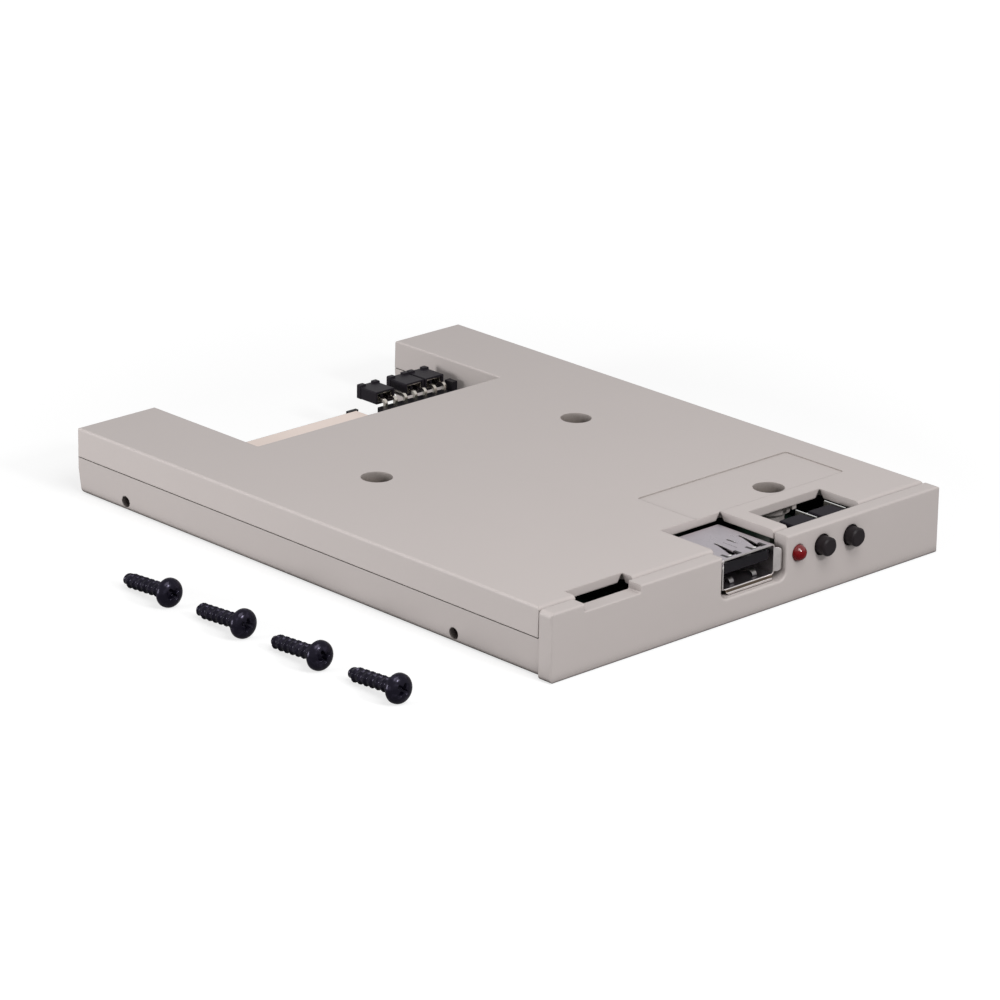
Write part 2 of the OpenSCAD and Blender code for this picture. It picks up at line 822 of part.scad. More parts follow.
module upper_case() {
  color(CASE_GREY)
    difference() {
      union() {
        difference() {
          cover_blank();
          upright(cover_z - over, ceiling_z)
            inside_plan(wall, cover_front - over);
        }
        at_screws() {
          translate([0, 0, post_z])
            cylinder(h = case_h - cover_t / 2 - post_z, d = cbore_d + 2 * tube_wall);
          fins(cbore_d / 2 + tube_wall, ceiling_z - fin_h, ceiling_z + fuse);
        }
        ribs(ceiling_z - rib_h, ceiling_z + fuse);
      }
      upright(cover_z - over, parting_z + lip_h + fit_gap)
        inside_plan(wall - lip_t - fit_gap, cover_front - over);
      translate([notch_x, notch_y, case_h])
        rotate([-90, 0, 0])
          mouth_cut(notch_w, notch_depth + over, case_h, notch_corner_r, notch_edge_r);
      at_screws() {
        translate([0, 0, seat_z])
          cylinder(h = case_h, d = cbore_d);
        translate([0, 0, post_z - over])
          cylinder(h = case_h, r = shank_d / 2 + cover_hole_gap);
      }
      cover_opening(usb_x - shell_w / 2 - cut_left, usb_x + shell_w / 2 + cut_right,
                    usb_back + usb_back_gap);
      cover_opening(window_x0, window_x1, window_y1);
      cover_opening(slot_cover_x - slot_cover_w / 2, slot_cover_x + slot_cover_w / 2,
                    cover_front + slot_l);
      upright(case_h - label_deep, case_h + over)
        round_rect(label_x1 - label_w, label_x1, label_y0, label_y0 + label_l, label_corner_r,
                   label_corner_r, label_corner_r, label_corner_r);
      // Room for the light's flange
      translate([led_x, cover_front - over, control_z])
        rotate([-90, 0, 0])
          cylinder(h = over + lead_y + over - cover_front, r = led_d / 2 + flange_w + 2 * fit_gap);
    }
}

// A cross recess, cut down from z 0
module cross(w, l, deep) {
  for (a = [0, 90])
    rotate(a)
      box(-l / 2, l / 2, -w / 2, w / 2, -deep, over);
}

module case_screws() {
  color(BLACK)
    at_screws()
      translate([0, 0, seat_z])
        difference() {
          union() {
            rotate_extrude()
              round_rect(0, head_d / 2, 0, head_h, 0, 0, head_round, 0);
            translate([0, 0, shank_tip - shank_l])
              cylinder(h = shank_l - shank_tip + fuse, d = shank_d);
            translate([0, 0, -shank_l])
              cylinder(h = shank_tip, r1 = shank_d / 4, r2 = shank_d / 2);
          }
          translate([0, 0, head_h])
            cross(cross_w, cross_l, cross_deep);
        }
}

module contact_profile() {
  leg = shell_l + contact_back;
  translate([tongue_recess + contact_inset, tongue_z - contact_t])
    square([leg + contact_t - tongue_recess - contact_inset, contact_t]);
  translate([leg, -usb_lift - board_t - solder_l])
    square([contact_t, tongue_z + usb_lift + board_t + solder_l]);
}

module usb_contact_set() {
  for (x = contact_places)
    along_x(x - contact_w / 2, x + contact_w / 2)
      contact_profile();
}

// The places of the two switches
module at_buttons() {
  for (i = [0, 1])
    translate([button_x + i * button_pitch, switch_y, 0])
      children();
}

module circuit_board() {
  bracket_end = bracket_front + bracket_l;
  color(BOARD_GREEN)
    difference() {
      union() {
        box(-board_x, board_x, board_front, board_y1, board_z, board_top);
        box(tail_x0, tail_x1, board_y1 - fuse, board_rear, board_z, board_top);
      }
      at_screws()
        translate([0, 0, board_z - over])
          cylinder(h = board_t + 2 * over, r = post_d / 2 + solder_gap);
      for (s = [-1, 1])
        for (y = tab_places)
          let (x = s * (shell_w - shell_t) / 2, half = shell_t / 2 + solder_gap)
            box(usb_x + x - half, usb_x + x + half, usb_y + y - solder_gap,
                usb_y + y + tab_w + solder_gap, board_z - over, board_top + over);
      for (x = contact_places)
        translate([usb_x + x, usb_back + contact_back + contact_t / 2, board_z - over])
          cylinder(h = board_t + 2 * over, r = contact_hole_r);
      for (s = [-1, 1])
        translate([led_x + s * lead_pitch / 2, lead_y, board_z - over])
          cylinder(h = board_t + 2 * over, r = lead_d / 2 + solder_gap);
      at_buttons()
        for (s = [-1, 1]) {
          translate([s * terminal_x, terminal_y + terminal_t / 2, board_z - over])
            cylinder(h = board_t + 2 * over, r = terminal_hole_r);
          translate([s * (bracket_x + bracket_t / 2), bracket_end - leg_w / 2, board_z - over])
            cylinder(h = board_t + 2 * over, r = leg_w / 2 + solder_gap);
        }
      for (i = [0:PIN_COUNT - 1])
        translate([header_x + (i - (PIN_COUNT - 1) / 2) * pin_pitch, header_y, board_z - over])
          cylinder(h = board_t + 2 * over, r = pin_hole_r);
    }
}

module shell_outline(inset) {
  r = shell_r - inset;
  round_rect(inset - shell_w / 2, shell_w / 2 - inset, inset, shell_h - inset, r, r, r, r);
}

// A spring finger seen from above, widened all round by the given margin
module finger_plan(margin, y1) {
  y0 = finger_front + finger_gap - margin;
  polygon([
    [-finger_tip_w / 2 - margin, y0], [finger_tip_w / 2 + margin, y0],
    [finger_w / 2 + margin, y1], [-finger_w / 2 - margin, y1]
  ]);
}

// A spring finger seen from the side: level at its root, dipping into the shell, curled at its tip
module finger_side() {
  root = finger_front + finger_l;
  tip = finger_front + finger_gap;
  line = [
    [root + fuse, shell_h], [root - finger_bend, shell_h],
    [tip + finger_toe, shell_h - finger_dip], [tip, shell_h - finger_dip + finger_curl]
  ];
  polygon(concat(line, [for (i = [3:-1:0]) line[i] - [0, shell_t]]));
}

// A sheet that leaves a wall of the shell at its mouth and flares out at 45 degrees
module lip_section(edge, out) {
  polygon([
    [edge - shell_t, fuse], [edge - shell_t, 0], [edge + out - shell_t, -out],
    [edge + out, -out], [edge, 0], [edge, fuse]
  ]);
}

module usb_shell() {
  color(STEEL)
    translate([usb_x, usb_y, usb_z]) {
      difference() {
        along_y(0, shell_l)
          difference() {
            shell_outline(0);
            shell_outline(shell_t);
          }
        for (s = [-1, 1])
          translate([s * finger_x, 0, 0])
            upright(shell_h - shell_t - over, shell_h + over)
              finger_plan(finger_gap, finger_front + finger_l);
        box(-seam_w / 2, seam_w / 2, seam_l0, seam_l1, shell_h - seam_deep, shell_h + over);
      }
      for (s = [-1, 1])
        translate([s * finger_x, 0, 0])
          intersection() {
            upright(0, shell_h)
              finger_plan(0, finger_front + finger_l + fuse);
            along_x(-finger_w, finger_w)
              finger_side();
          }
      for (s = [0, 1])
        mirror([s, 0, 0])
          intersection() {
            upright(shell_r, shell_h - shell_r)
              lip_section(shell_w / 2, lip_out);
            along_x(0, shell_w)
              round_rect(-lip_out, fuse, shell_r, shell_h - shell_r, lip_r, 0, 0, lip_r);
          }
      intersection() {
        along_x(shell_r - shell_w / 2, shell_w / 2 - shell_r)
          rotate(-90)
            lip_section(0, low_lip_out);
        upright(-shell_h, shell_h)
          round_rect(shell_r - shell_w / 2, shell_w / 2 - shell_r, -low_lip_out, fuse, lip_r, lip_r, 0, 0);
      }
      for (s = [0, 1])
        mirror([s, 0, 0])
          for (y = tab_places)
            box(shell_w / 2 - shell_t, shell_w / 2, y, y + tab_w,
                -usb_lift - board_t - solder_l, shell_r + fuse);
    }
}

module usb_insulator() {
  inset = shell_t + fit_gap / 2;
  color(BLACK)
    translate([usb_x, usb_y, usb_z])
      difference() {
        union() {
          along_y(shell_l - insulator_l, shell_l)
            shell_outline(inset);
          box(-tongue_w / 2, tongue_w / 2, tongue_recess, shell_l - insulator_l + fuse, tongue_z,
              tongue_z + tongue_t);
        }
        usb_contact_set();
      }
}

module usb_contacts() {
  color(TIN)
    translate([usb_x, usb_y, usb_z])
      usb_contact_set();
}

module activity_led() {
  color(LED_RED)
    translate([led_x, front_y, control_z])
      rotate([-90, 0, 0]) {
        sphere(d = led_d);
        cylinder(h = led_body_l + fuse, d = led_d);
        translate([0, 0, led_body_l])
          cylinder(h = flange_l, r = led_d / 2 + flange_w);
      }
}

module led_leads() {
  start = front_y + led_body_l + flange_l;
  color(TIN)
    for (s = [-1, 1])
      translate([led_x + s * lead_pitch / 2, 0, 0]) {
        translate([0, start, control_z])
          rotate([-90, 0, 0])
            cylinder(h = lead_y - start, d = lead_d);
        translate([0, lead_y, control_z])
          sphere(d = lead_d);
        translate([0, lead_y, board_z - solder_l])
          cylinder(h = control_z - board_z + solder_l, d = lead_d);
      }
}

module switch_body(i) {
  half = switch_w / 2;
  color(BLACK)
    translate([button_x + i * button_pitch, switch_y, control_z])
      difference() {
        along_y(0, switch_l)
          round_rect(-half, half, -half, half, switch_r, switch_r, switch_r, switch_r);
        rotate([-90, 0, 0])
          translate([0, 0, -over])
            cylinder(h = stem_recess + over, r = stem_d / 2 + fit_gap);
      }
}

module button_stem(i) {
  r = stem_d / 2;
  len = switch_gap + bezel_t + stem_out + stem_grip;
  color(BLACK)
    translate([button_x + i * button_pitch, front_y - stem_out, control_z])
      rotate([-90, 0, 0]) {
        cylinder(h = stem_chamfer, r1 = r - stem_chamfer, r2 = r);
        translate([0, 0, stem_chamfer])
          cylinder(h = len - stem_chamfer, r = r);
      }
}

module switch_bracket(i) {
  top = control_z + switch_w / 2 + bracket_rise;
  end = bracket_front + bracket_l;
  back_z0 = control_z - switch_w / 2 + bracket_back_z0;
  back_z1 = control_z + switch_w / 2 - bracket_back_z1;
  color(STEEL)
    translate([button_x + i * button_pitch, switch_y, 0]) {
      for (s = [0, 1])
        mirror([s, 0, 0]) {
          box(bracket_x, bracket_x + bracket_t, bracket_front, end, board_top,
              s == 0 ? top : control_z);
          box(bracket_x, bracket_x + bracket_t, end - leg_w, end, board_z - solder_l, board_top + fuse);
        }
      box(-bracket_x - bracket_t / 2, bracket_x + bracket_t / 2, switch_l, switch_l + bracket_t,
          back_z0, back_z1);
    }
}

module switch_terminals() {
  color(TIN)
    at_buttons()
      for (s = [-1, 1])
        translate([s * terminal_x, terminal_y, 0])
          box(-terminal_w / 2, terminal_w / 2, 0, terminal_t, board_z - solder_l,
              control_z - switch_w / 2);
}

module cable_contact_profile() {
  translate([-cable_tail_l, 0])
    square([cable_tail_l + cable_rise_y, cable_contact_t]);
  translate([cable_rise_y - cable_contact_t, 0])
    square([cable_contact_t, mouth_z + cable_contact_t]);
  translate([cable_rise_y - cable_contact_t, mouth_z])
    square([cable_spring_l, cable_contact_t]);
}

module cable_contact_set() {
  for (i = [0:cable_count - 1])
    let (x = (i - (cable_count - 1) / 2) * cable_pitch)
      along_x(x - cable_contact_w / 2, x + cable_contact_w / 2)
        cable_contact_profile();
}

module ribbon_housing() {
  color(CREAM)
    translate([cable_x, cable_y, board_top])
      difference() {
        along_x(-cable_half, cable_half)
          polygon([
            [0, 0], [cable_l, 0], [cable_l, cable_h], [cable_chamfer, cable_h],
            [0, cable_h - cable_chamfer]
          ]);
        box(-mouth_half, mouth_half, cable_l - mouth_l, cable_l + over, mouth_z, mouth_z + mouth_h);
        cable_contact_set();
      }
}

module ribbon_contacts() {
  color(TIN)
    translate([cable_x, cable_y, board_top])
      cable_contact_set();
}

module ribbon_slider() {
  bar_y = cable_l + fit_gap;
  slit_z = mouth_z + cable_slit;
  hook_z = cable_h + fit_gap;
  color(BLACK)
    translate([cable_x, cable_y, board_top])
      difference() {
        union() {
          box(-slider_half, slider_half, bar_y, bar_y + slider_bar, slider_z0, slider_z1);
          box(fit_gap - mouth_half, mouth_half - fit_gap, cable_l - slider_insert, bar_y + fuse,
              slit_z, mouth_z + mouth_h - fit_gap);
          for (s = [0, 1])
            mirror([s, 0, 0]) {
              box(slider_half - slider_arm, slider_half, fit_gap, bar_y + fuse, slider_z0, slider_z1);
              box(slider_half - slider_ear, slider_half, bar_y, bar_y + slider_bar,
                  slider_z1 - fuse, hook_z);
              box(slider_half - slider_arm, slider_half, fit_gap, hook_l, slider_z1 - fuse,
                  hook_z + hook_t);
              box(slider_half - hook_w, slider_half, fit_gap, hook_l, hook_z, hook_z + hook_t);
            }
        }
        box(fit_gap - mouth_half, mouth_half - fit_gap, bar_y - over, bar_y + slider_bar + over,
            mouth_z, slit_z);
      }
}

module at_pins() {
  for (i = [0:PIN_COUNT - 1])
    translate([header_x + (i - (PIN_COUNT - 1) / 2) * pin_pitch, header_y, board_top])
      children();
}

module header_base() {
  half_l = base_l / 2;
  half_w = pin_pitch / 2;
  c = base_chamfer;
  row = (PIN_COUNT - 1) / 2 * pin_pitch + half_w - c;
  color(BLACK)
    difference() {
      union() {
        translate([header_x, header_y, board_top])
          box(-row, row, c - half_l, half_l - c, 0, base_h);
        box(header_x + row, tail_x1 - end_block_gap, header_y - half_l, header_y + half_l - c,
            board_top, board_top + end_block_h);
        at_pins()
          linear_extrude(base_h)
            polygon([
              [c - half_w, -half_l], [half_w - c, -half_l], [half_w, c - half_l],
              [half_w, half_l - c], [half_w - c, half_l], [c - half_w, half_l],
              [-half_w, half_l - c], [-half_w, c - half_l]
            ]);
      }
      at_pins()
        box(-pin_w / 2, pin_w / 2, -pin_w / 2, pin_w / 2, -over, base_h + over);
    }
}

// A pin seen from the side: up through the base, round a bend and level to the rear
module pin_profile() {
  foot = -board_t - solder_l;
  bend_y = pin_w / 2 + pin_bend_r;
  bend_z = pin_z - bend_y;
  translate([-pin_w / 2, foot])
    square([pin_w, bend_z - foot]);
  intersection() {
    translate([bend_y, bend_z])
      difference() {
        circle(pin_bend_r + pin_w);
        circle(pin_bend_r);
      }
    translate([-pin_w / 2, bend_z])
      square([pin_bend_r + pin_w, pin_bend_r + pin_w]);
  }
  translate([bend_y, pin_z - pin_w / 2])
    square([base_l / 2 + pin_l - bend_y, pin_w]);
}

module header_pins() {
  color(TIN)
    at_pins()
      along_x(-pin_w / 2, pin_w / 2)
        pin_profile();
}

module at_cap(i) {
  middle = CAP_FIRST_PINS[i] + 1 / 2 - (PIN_COUNT - 1) / 2;
  translate([header_x + middle * pin_pitch, cap_y, board_top + pin_z])
    children();
}

module jumper_cap(i) {
  grip_half = cap_w / 2;
  half_w = grip_half - grip_side;
  color(BLACK)
    at_cap(i)
      difference() {
        union() {
          along_y(0, cap_l)
            round_rect(-half_w, half_w, cap_z0, cap_z1, cap_r, cap_r, cap_r, cap_r);
          along_y(cap_l - grip_l, cap_l)
            round_rect(-grip_half, grip_half, cap_z0, cap_z1 + grip_h, cap_r, cap_r, cap_r, cap_r);
        }
        difference() {
          box(-cavity_w / 2, cavity_w / 2, -over, cap_l + over, cavity_z0, cavity_z1);
          box(-divider_w / 2, divider_w / 2, divider_inset, cap_l, cavity_z0 - over,
              cavity_z1 - clip_t - fit_gap);
        }
        box(-grip_gap / 2, grip_gap / 2, cap_l - grip_l - over, cap_l + over, cap_z1, cap_z1 + over);
      }
}

// A clip of bent strip round both pins, its back under the cap's roof and its leaves below the pins
module jumper_clip(i) {
  side = cavity_w / 2 - fit_gap / 2;
  back_z = cavity_z1 - fit_gap / 2 - clip_t;
  leaf_z = -pin_w / 2 - clip_gap - clip_t;
  color(TIN)
    at_cap(i)
      along_y(clip_inset, clip_inset + clip_l) {
        translate([-side, back_z])
          square([2 * side, clip_t]);
        for (s = [0, 1])
          mirror([s, 0]) {
            translate([side - clip_t, leaf_z])
              square([clip_t, back_z + clip_t - leaf_z]);
            translate([pin_pitch / 2 - pin_w / 2, leaf_z])
              square([side - pin_pitch / 2 + pin_w / 2, clip_t]);
          }
      }
}

// A moulded chip package with its upper edges cut back
module package(w, l, h) {
  along_y(-l / 2, l / 2)
    polygon([
      [-w / 2, 0], [w / 2, 0], [w / 2, h - chip_chamfer], [w / 2 - chip_chamfer, h],
      [chip_chamfer - w / 2, h], [-w / 2, h - chip_chamfer]
    ]);
}

module microcontroller() {
  color(BLACK)
    translate([mcu_x, board_front + mcu_share * board_l, board_top]) {
      package(mcu_w, mcu_w, mcu_h);
      for (a = [0, 90])
        rotate(a)
          for (i = [0:mcu_leads - 1])
            let (y = (i - (mcu_leads - 1) / 2) * mcu_lead_pitch, half = mcu_w / 2 + mcu_lead_l)
              box(-half, half, y - mcu_lead_w / 2, y + mcu_lead_w / 2, 0, mcu_lead_t);
    }
}

module buffer_chip() {
  color(BLACK)
    translate([buffer_x, board_front + buffer_share * board_l, board_top]) {
      package(buffer_w, buffer_l, buffer_h);
      for (i = [0:buffer_leads - 1])
        let (y = (i - (buffer_leads - 1) / 2) * buffer_pitch, half = buffer_w / 2 + mcu_lead_l)
          box(-half, half, y - mcu_lead_w / 2, y + mcu_lead_w / 2, 0, mcu_lead_t);
    }
}

module crystal() {
  r = crystal_w / 2;
  color(STEEL)
    translate([crystal_x, board_front + mcu_share * board_l, board_top])
      for (b = [[0, crystal_h], [crystal_flange, crystal_flange_t]])
        linear_extrude(b[1]) {
          for (s = [-1, 1])
            translate([0, s * (crystal_l / 2 - r)])
              circle(r + b[0]);
          translate([-r - b[0], r - crystal_l / 2])
            square([crystal_w + 2 * b[0], crystal_l - crystal_w]);
        }
}

module voltage_regulator() {
  color(BLACK)
    translate([regulator_x, board_front + regulator_share * board_l, board_top]) {
      package(regulator_w, regulator_l, regulator_h);
      for (i = [-1:1])
        translate([i * regulator_pitch, 0, 0])
          box(-regulator_lead_w / 2, regulator_lead_w / 2, -regulator_l / 2 - regulator_lead_l, 0,
              0, mcu_lead_t);
      box(-regulator_pitch / 2, regulator_pitch / 2, 0, regulator_l / 2 + regulator_lead_l,
          0, mcu_lead_t);
    }
}

module chip_parts() {
  color(CREAM) {
    for (row = chip_rows)
      for (i = [0:row[2] - 1])
        translate([row[0], board_front + row[1] * board_l + i * chip_pitch, board_top])
          box(-chip_l / 2, chip_l / 2, -chip_w / 2, chip_w / 2, 0, chip_h);
    translate([window_x0 + window_chip_x, front_y + window_chip_back, board_top])
      box(-chip_w / 2, chip_w / 2, -chip_l / 2, chip_l / 2, 0, chip_h);
  }
}

// A pan-head screw along Y with its head's rim at y 0, its thread given by its outer diameter
module loose_screw() {
  rotate([90, 0, 0])
    difference() {
      rotate_extrude()
        round_rect(0, loose_head_d / 2, 0, loose_head_h, 0, 0, loose_round, 0);
      translate([0, 0, loose_head_h])
        cross(loose_cross_w, loose_cross_l, loose_cross_deep);
    }
  rotate([-90, 0, 0]) {
    translate([0, 0, -fuse])
      cylinder(h = loose_l - loose_tip_l + fuse, d = loose_d);
    translate([0, 0, loose_l - loose_tip_l])
      cylinder(h = loose_tip_l, r1 = loose_d / 2, r2 = loose_tip_r);
  }
}

module mounting_screws() {
  color(BLACK)
    for (i = [0:loose_count - 1])
      translate([loose_x, front_y + loose_back - i * loose_pitch, loose_z])
        rotate([-loose_tilt, 0, -loose_turn])
          loose_screw();
}

lower_case();
upper_case();
case_screws();
circuit_board();
usb_shell();
usb_insulator();
usb_contacts();
activity_led();
led_leads();
switch_body(0);  // switch_body_1
switch_body(1);  // switch_body_2
switch_bracket(0);  // switch_bracket_1
switch_bracket(1);  // switch_bracket_2
switch_terminals();
button_stem(0);  // button_stem_1
button_stem(1);  // button_stem_2
ribbon_housing();
ribbon_contacts();
ribbon_slider();
header_base();
header_pins();
jumper_cap(0);  // jumper_cap_1
jumper_cap(1);  // jumper_cap_2
jumper_cap(2);  // jumper_cap_3
jumper_clip(0);  // jumper_clip_1
jumper_clip(1);  // jumper_clip_2
jumper_clip(2);  // jumper_clip_3
microcontroller();
buffer_chip();
crystal();
voltage_regulator();
chip_parts();
mounting_screws();
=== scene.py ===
"""Dresses a slim floppy drive emulator: a moulded case with its socket, light, buttons and jumpers.

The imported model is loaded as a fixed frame. Each sub-assembly below gives its own parts their
finish and adds the small pieces that the model leaves plain. Lengths are in metres.
"""

from __future__ import annotations

import json
import logging
import math
from dataclasses import dataclass, field
from enum import Enum
from typing import Any, Iterable, Mapping

import bmesh
import bpy
from mathutils import Matrix, Vector

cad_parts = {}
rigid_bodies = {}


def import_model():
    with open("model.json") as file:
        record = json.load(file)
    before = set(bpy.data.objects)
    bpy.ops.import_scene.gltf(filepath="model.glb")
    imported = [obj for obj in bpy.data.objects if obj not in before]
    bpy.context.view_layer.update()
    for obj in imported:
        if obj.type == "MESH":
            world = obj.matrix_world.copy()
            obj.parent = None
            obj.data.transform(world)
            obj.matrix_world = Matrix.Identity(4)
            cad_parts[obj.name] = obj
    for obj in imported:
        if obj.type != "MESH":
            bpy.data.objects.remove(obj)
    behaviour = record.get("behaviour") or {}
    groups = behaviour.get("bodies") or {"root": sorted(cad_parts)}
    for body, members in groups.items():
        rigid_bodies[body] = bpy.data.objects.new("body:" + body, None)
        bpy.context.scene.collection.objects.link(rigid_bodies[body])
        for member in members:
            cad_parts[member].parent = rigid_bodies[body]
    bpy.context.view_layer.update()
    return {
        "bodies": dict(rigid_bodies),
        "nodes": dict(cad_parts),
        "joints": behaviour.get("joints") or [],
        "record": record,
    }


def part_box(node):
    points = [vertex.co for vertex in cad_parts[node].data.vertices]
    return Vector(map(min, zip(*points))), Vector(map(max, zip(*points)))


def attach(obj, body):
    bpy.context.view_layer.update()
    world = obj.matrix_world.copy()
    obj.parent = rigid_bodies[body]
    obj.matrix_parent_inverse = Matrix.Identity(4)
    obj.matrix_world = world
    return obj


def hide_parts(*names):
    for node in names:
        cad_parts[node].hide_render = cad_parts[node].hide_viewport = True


log = logging.getLogger("drive")

MM = 0.001
POINT = 0.0001 * MM  # radius of a closed tip
DRIVE = "drive"

Colour = tuple[float, float, float]
Point = tuple[float, float, float]
Pair = tuple[float, float]
Mesh = bmesh.types.BMesh


class Sum(Enum):
    """The sums that Math nodes do."""

    ADD = "ADD"
    TAKE = "SUBTRACT"
    TIMES = "MULTIPLY"
    LOWER = "MINIMUM"
    HIGHER = "MAXIMUM"
    FOLD = "PINGPONG"


@dataclass
class Sock:
    """A node's output. Arithmetic on it adds Math nodes.

    Attributes:
        graph: The graph that new nodes go into.
        out: The output socket.
    """

    graph: Graph
    out: bpy.types.NodeSocket

    def _math(self, kind: Sum, first: Value, second: Value) -> Sock:
        """Adds one Math node.

        Args:
            kind: The sum that it does.
            first: Its first value.
            second: Its second value.

        Returns:
            The node's output.
        """
        node = self.graph.node("ShaderNodeMath", {"operation": kind.value}, {0: first, 1: second})
        return Sock(self.graph, node.outputs[0])

    def __add__(self, other: Value) -> Sock:
        """This plus other."""
        return self._math(Sum.ADD, self, other)

    def __radd__(self, other: Value) -> Sock:
        """Other plus this."""
        return self._math(Sum.ADD, other, self)

    def __sub__(self, other: Value) -> Sock:
        """This minus other."""
        return self._math(Sum.TAKE, self, other)

    def __rsub__(self, other: Value) -> Sock:
        """Other minus this."""
        return self._math(Sum.TAKE, other, self)

    def __mul__(self, other: Value) -> Sock:
        """This times other."""
        return self._math(Sum.TIMES, self, other)

    def __rmul__(self, other: Value) -> Sock:
        """Other times this."""
        return self._math(Sum.TIMES, other, self)

    def at_most(self, other: Value) -> Sock:
        """The smaller of this and other."""
        return self._math(Sum.LOWER, self, other)

    def at_least(self, other: Value) -> Sock:
        """The larger of this and other."""
        return self._math(Sum.HIGHER, self, other)

    def ramp(self, rise: float) -> Sock:
        """This times a rise, kept between 0 and 1."""
        return (self * rise).at_least(0.0).at_most(1.0)

    def folded(self, size: float) -> Sock:
        """This, going up and down between 0 and a size."""
        return self._math(Sum.FOLD, self, size)

    def swing(self, amount: float) -> Sock:
        """How far this noise is from its middle value, times an amount."""
        return (self - 0.5) * amount


Value = float | Sock


class Graph:
    """The node tree of a material or of the world."""

    edge_samples = 4
    hollow_samples = 6
    open_share = 0.74
    noise_roughness = 0.55

    def __init__(self, tree: bpy.types.NodeTree) -> None:
        """Empties the tree.

        Args:
            tree: The node tree to build in.
        """
        self.tree = tree
        self.tree.nodes.clear()

    def node(
        self,
        kind: str,
        settings: Mapping[str, Any] | None = None,
        sockets: Mapping[int | str, Any] | None = None,
    ) -> bpy.types.Node:
        """Adds a node.

        Args:
            kind: The node's type.
            settings: Its properties, set first.
            sockets: Values or links of its inputs, by name or number.

        Returns:
            The new node.
        """
        node = self.tree.nodes.new(kind)
        for key, value in (settings or {}).items():
            setattr(node, key, value)
        for key, value in (sockets or {}).items():
            if isinstance(value, Sock):
                self.tree.links.new(value.out, node.inputs[key])
            elif isinstance(value, bpy.types.NodeSocket):
                self.tree.links.new(value, node.inputs[key])
            else:
                node.inputs[key].default_value = value
        return node

    def sock(self, node: bpy.types.Node, output: int | str = 0) -> Sock:
        """One of a node's outputs, wrapped."""
        return Sock(self, node.outputs[output])

    def here(self) -> Sock:
        """The place on the object, in metres."""
        return self.sock(self.node("ShaderNodeTexCoord"), "Object")

    def softened(self, radius: float) -> bpy.types.NodeSocket:
        """The normal, softened within a radius of each edge."""
        settings = {"samples": self.edge_samples}
        return self.node("ShaderNodeBevel", settings, {"Radius": radius}).outputs[0]

    def rounding(self, radius: float) -> Sock:
        """How close a point is to an edge, from 0 on the flat to 1 on the edge.

        Args:
            radius: How far from the edge it starts, in metres.

        Returns:
            The value.
        """
        flat = self.node("ShaderNodeNewGeometry")
        normals = {0: self.softened(radius), 1: flat.outputs["Normal"]}
        both = self.node("ShaderNodeVectorMath", {"operation": "DOT_PRODUCT"}, normals)
        return (1.0 - self.sock(both, "Value")).ramp(rise=4.0)

    def hollow(self, reach: float, alone: bool = True) -> Sock:
        """How much painted shade a point gets in a hole or corner, from 0 in the open to 1 deep
        inside.

        Args:
            reach: How far away its surroundings still count, in metres.
            alone: Whether only the part itself counts.

        Returns:
            The value.
        """
        settings = {"samples": self.hollow_samples, "only_local": alone}
        light = self.node("ShaderNodeAmbientOcclusion", settings, {"Distance": reach})
        return (self.open_share - self.sock(light, "AO")).ramp(rise=1.8)

    def axes(self) -> tuple[Sock, Sock, Sock]:
        """X, Y and Z of the place on the object, in metres."""
        place = self.node("ShaderNodeSeparateXYZ", {}, {"Vector": self.here()})
        return self.sock(place, "X"), self.sock(place, "Y"), self.sock(place, "Z")

    def facing_up(self, level: float = 0.7, slope: float = 5.0) -> Sock:
        """1 where the surface faces up, 0 on its sides.

        Args:
            level: How far up it has to face.
            slope: How fast the value rises from there.

        Returns:
            The value.
        """
        normal = self.node("ShaderNodeTexCoord").outputs["Normal"]
        parts = self.node("ShaderNodeSeparateXYZ", {}, {"Vector": normal})
        return (self.sock(parts, "Z") - level).ramp(slope)

    def noise(self, grain: float, detail: float = 2.0, stretch: Point = (1.0, 1.0, 1.0)) -> Sock:
        """Noise about the middle value of 0.5.

        Args:
            grain: The size of its patches, in metres.
            detail: How many finer layers it has.
            stretch: How much finer the noise is along each axis.

        Returns:
            The noise's value.
        """
        place = self.node("ShaderNodeMapping", {}, {"Vector": self.here(), "Scale": stretch})
        sockets = {"Vector": place.outputs[0], "Scale": 1.0 / grain, "Detail": detail}
        sockets["Roughness"] = self.noise_roughness
        return self.sock(self.node("ShaderNodeTexNoise", {}, sockets), "Fac")

    def mix(self, amount: Value, low: Any, high: Any) -> Sock:
        """A colour between two.

        Args:
            amount: 0 gives low and 1 gives high.
            low: The first colour.
            high: The second colour.

        Returns:
            The mixed colour.
        """
        low = (*low, 1.0) if isinstance(low, tuple) else low
        high = (*high, 1.0) if isinstance(high, tuple) else high
        node = self.node("ShaderNodeMix", {"data_type": "RGBA"}, {0: amount, 6: low, 7: high})
        return self.sock(node, 2)


def shade(colour: Colour, factor: float) -> Colour:
    """A colour made lighter or darker.

    Args:
        colour: The colour.
        factor: What each channel is multiplied by.

    Returns:
        The new colour, kept within 0 and 1.
    """
    return tuple(min(max(c * factor, 0.0), 1.0) for c in colour)


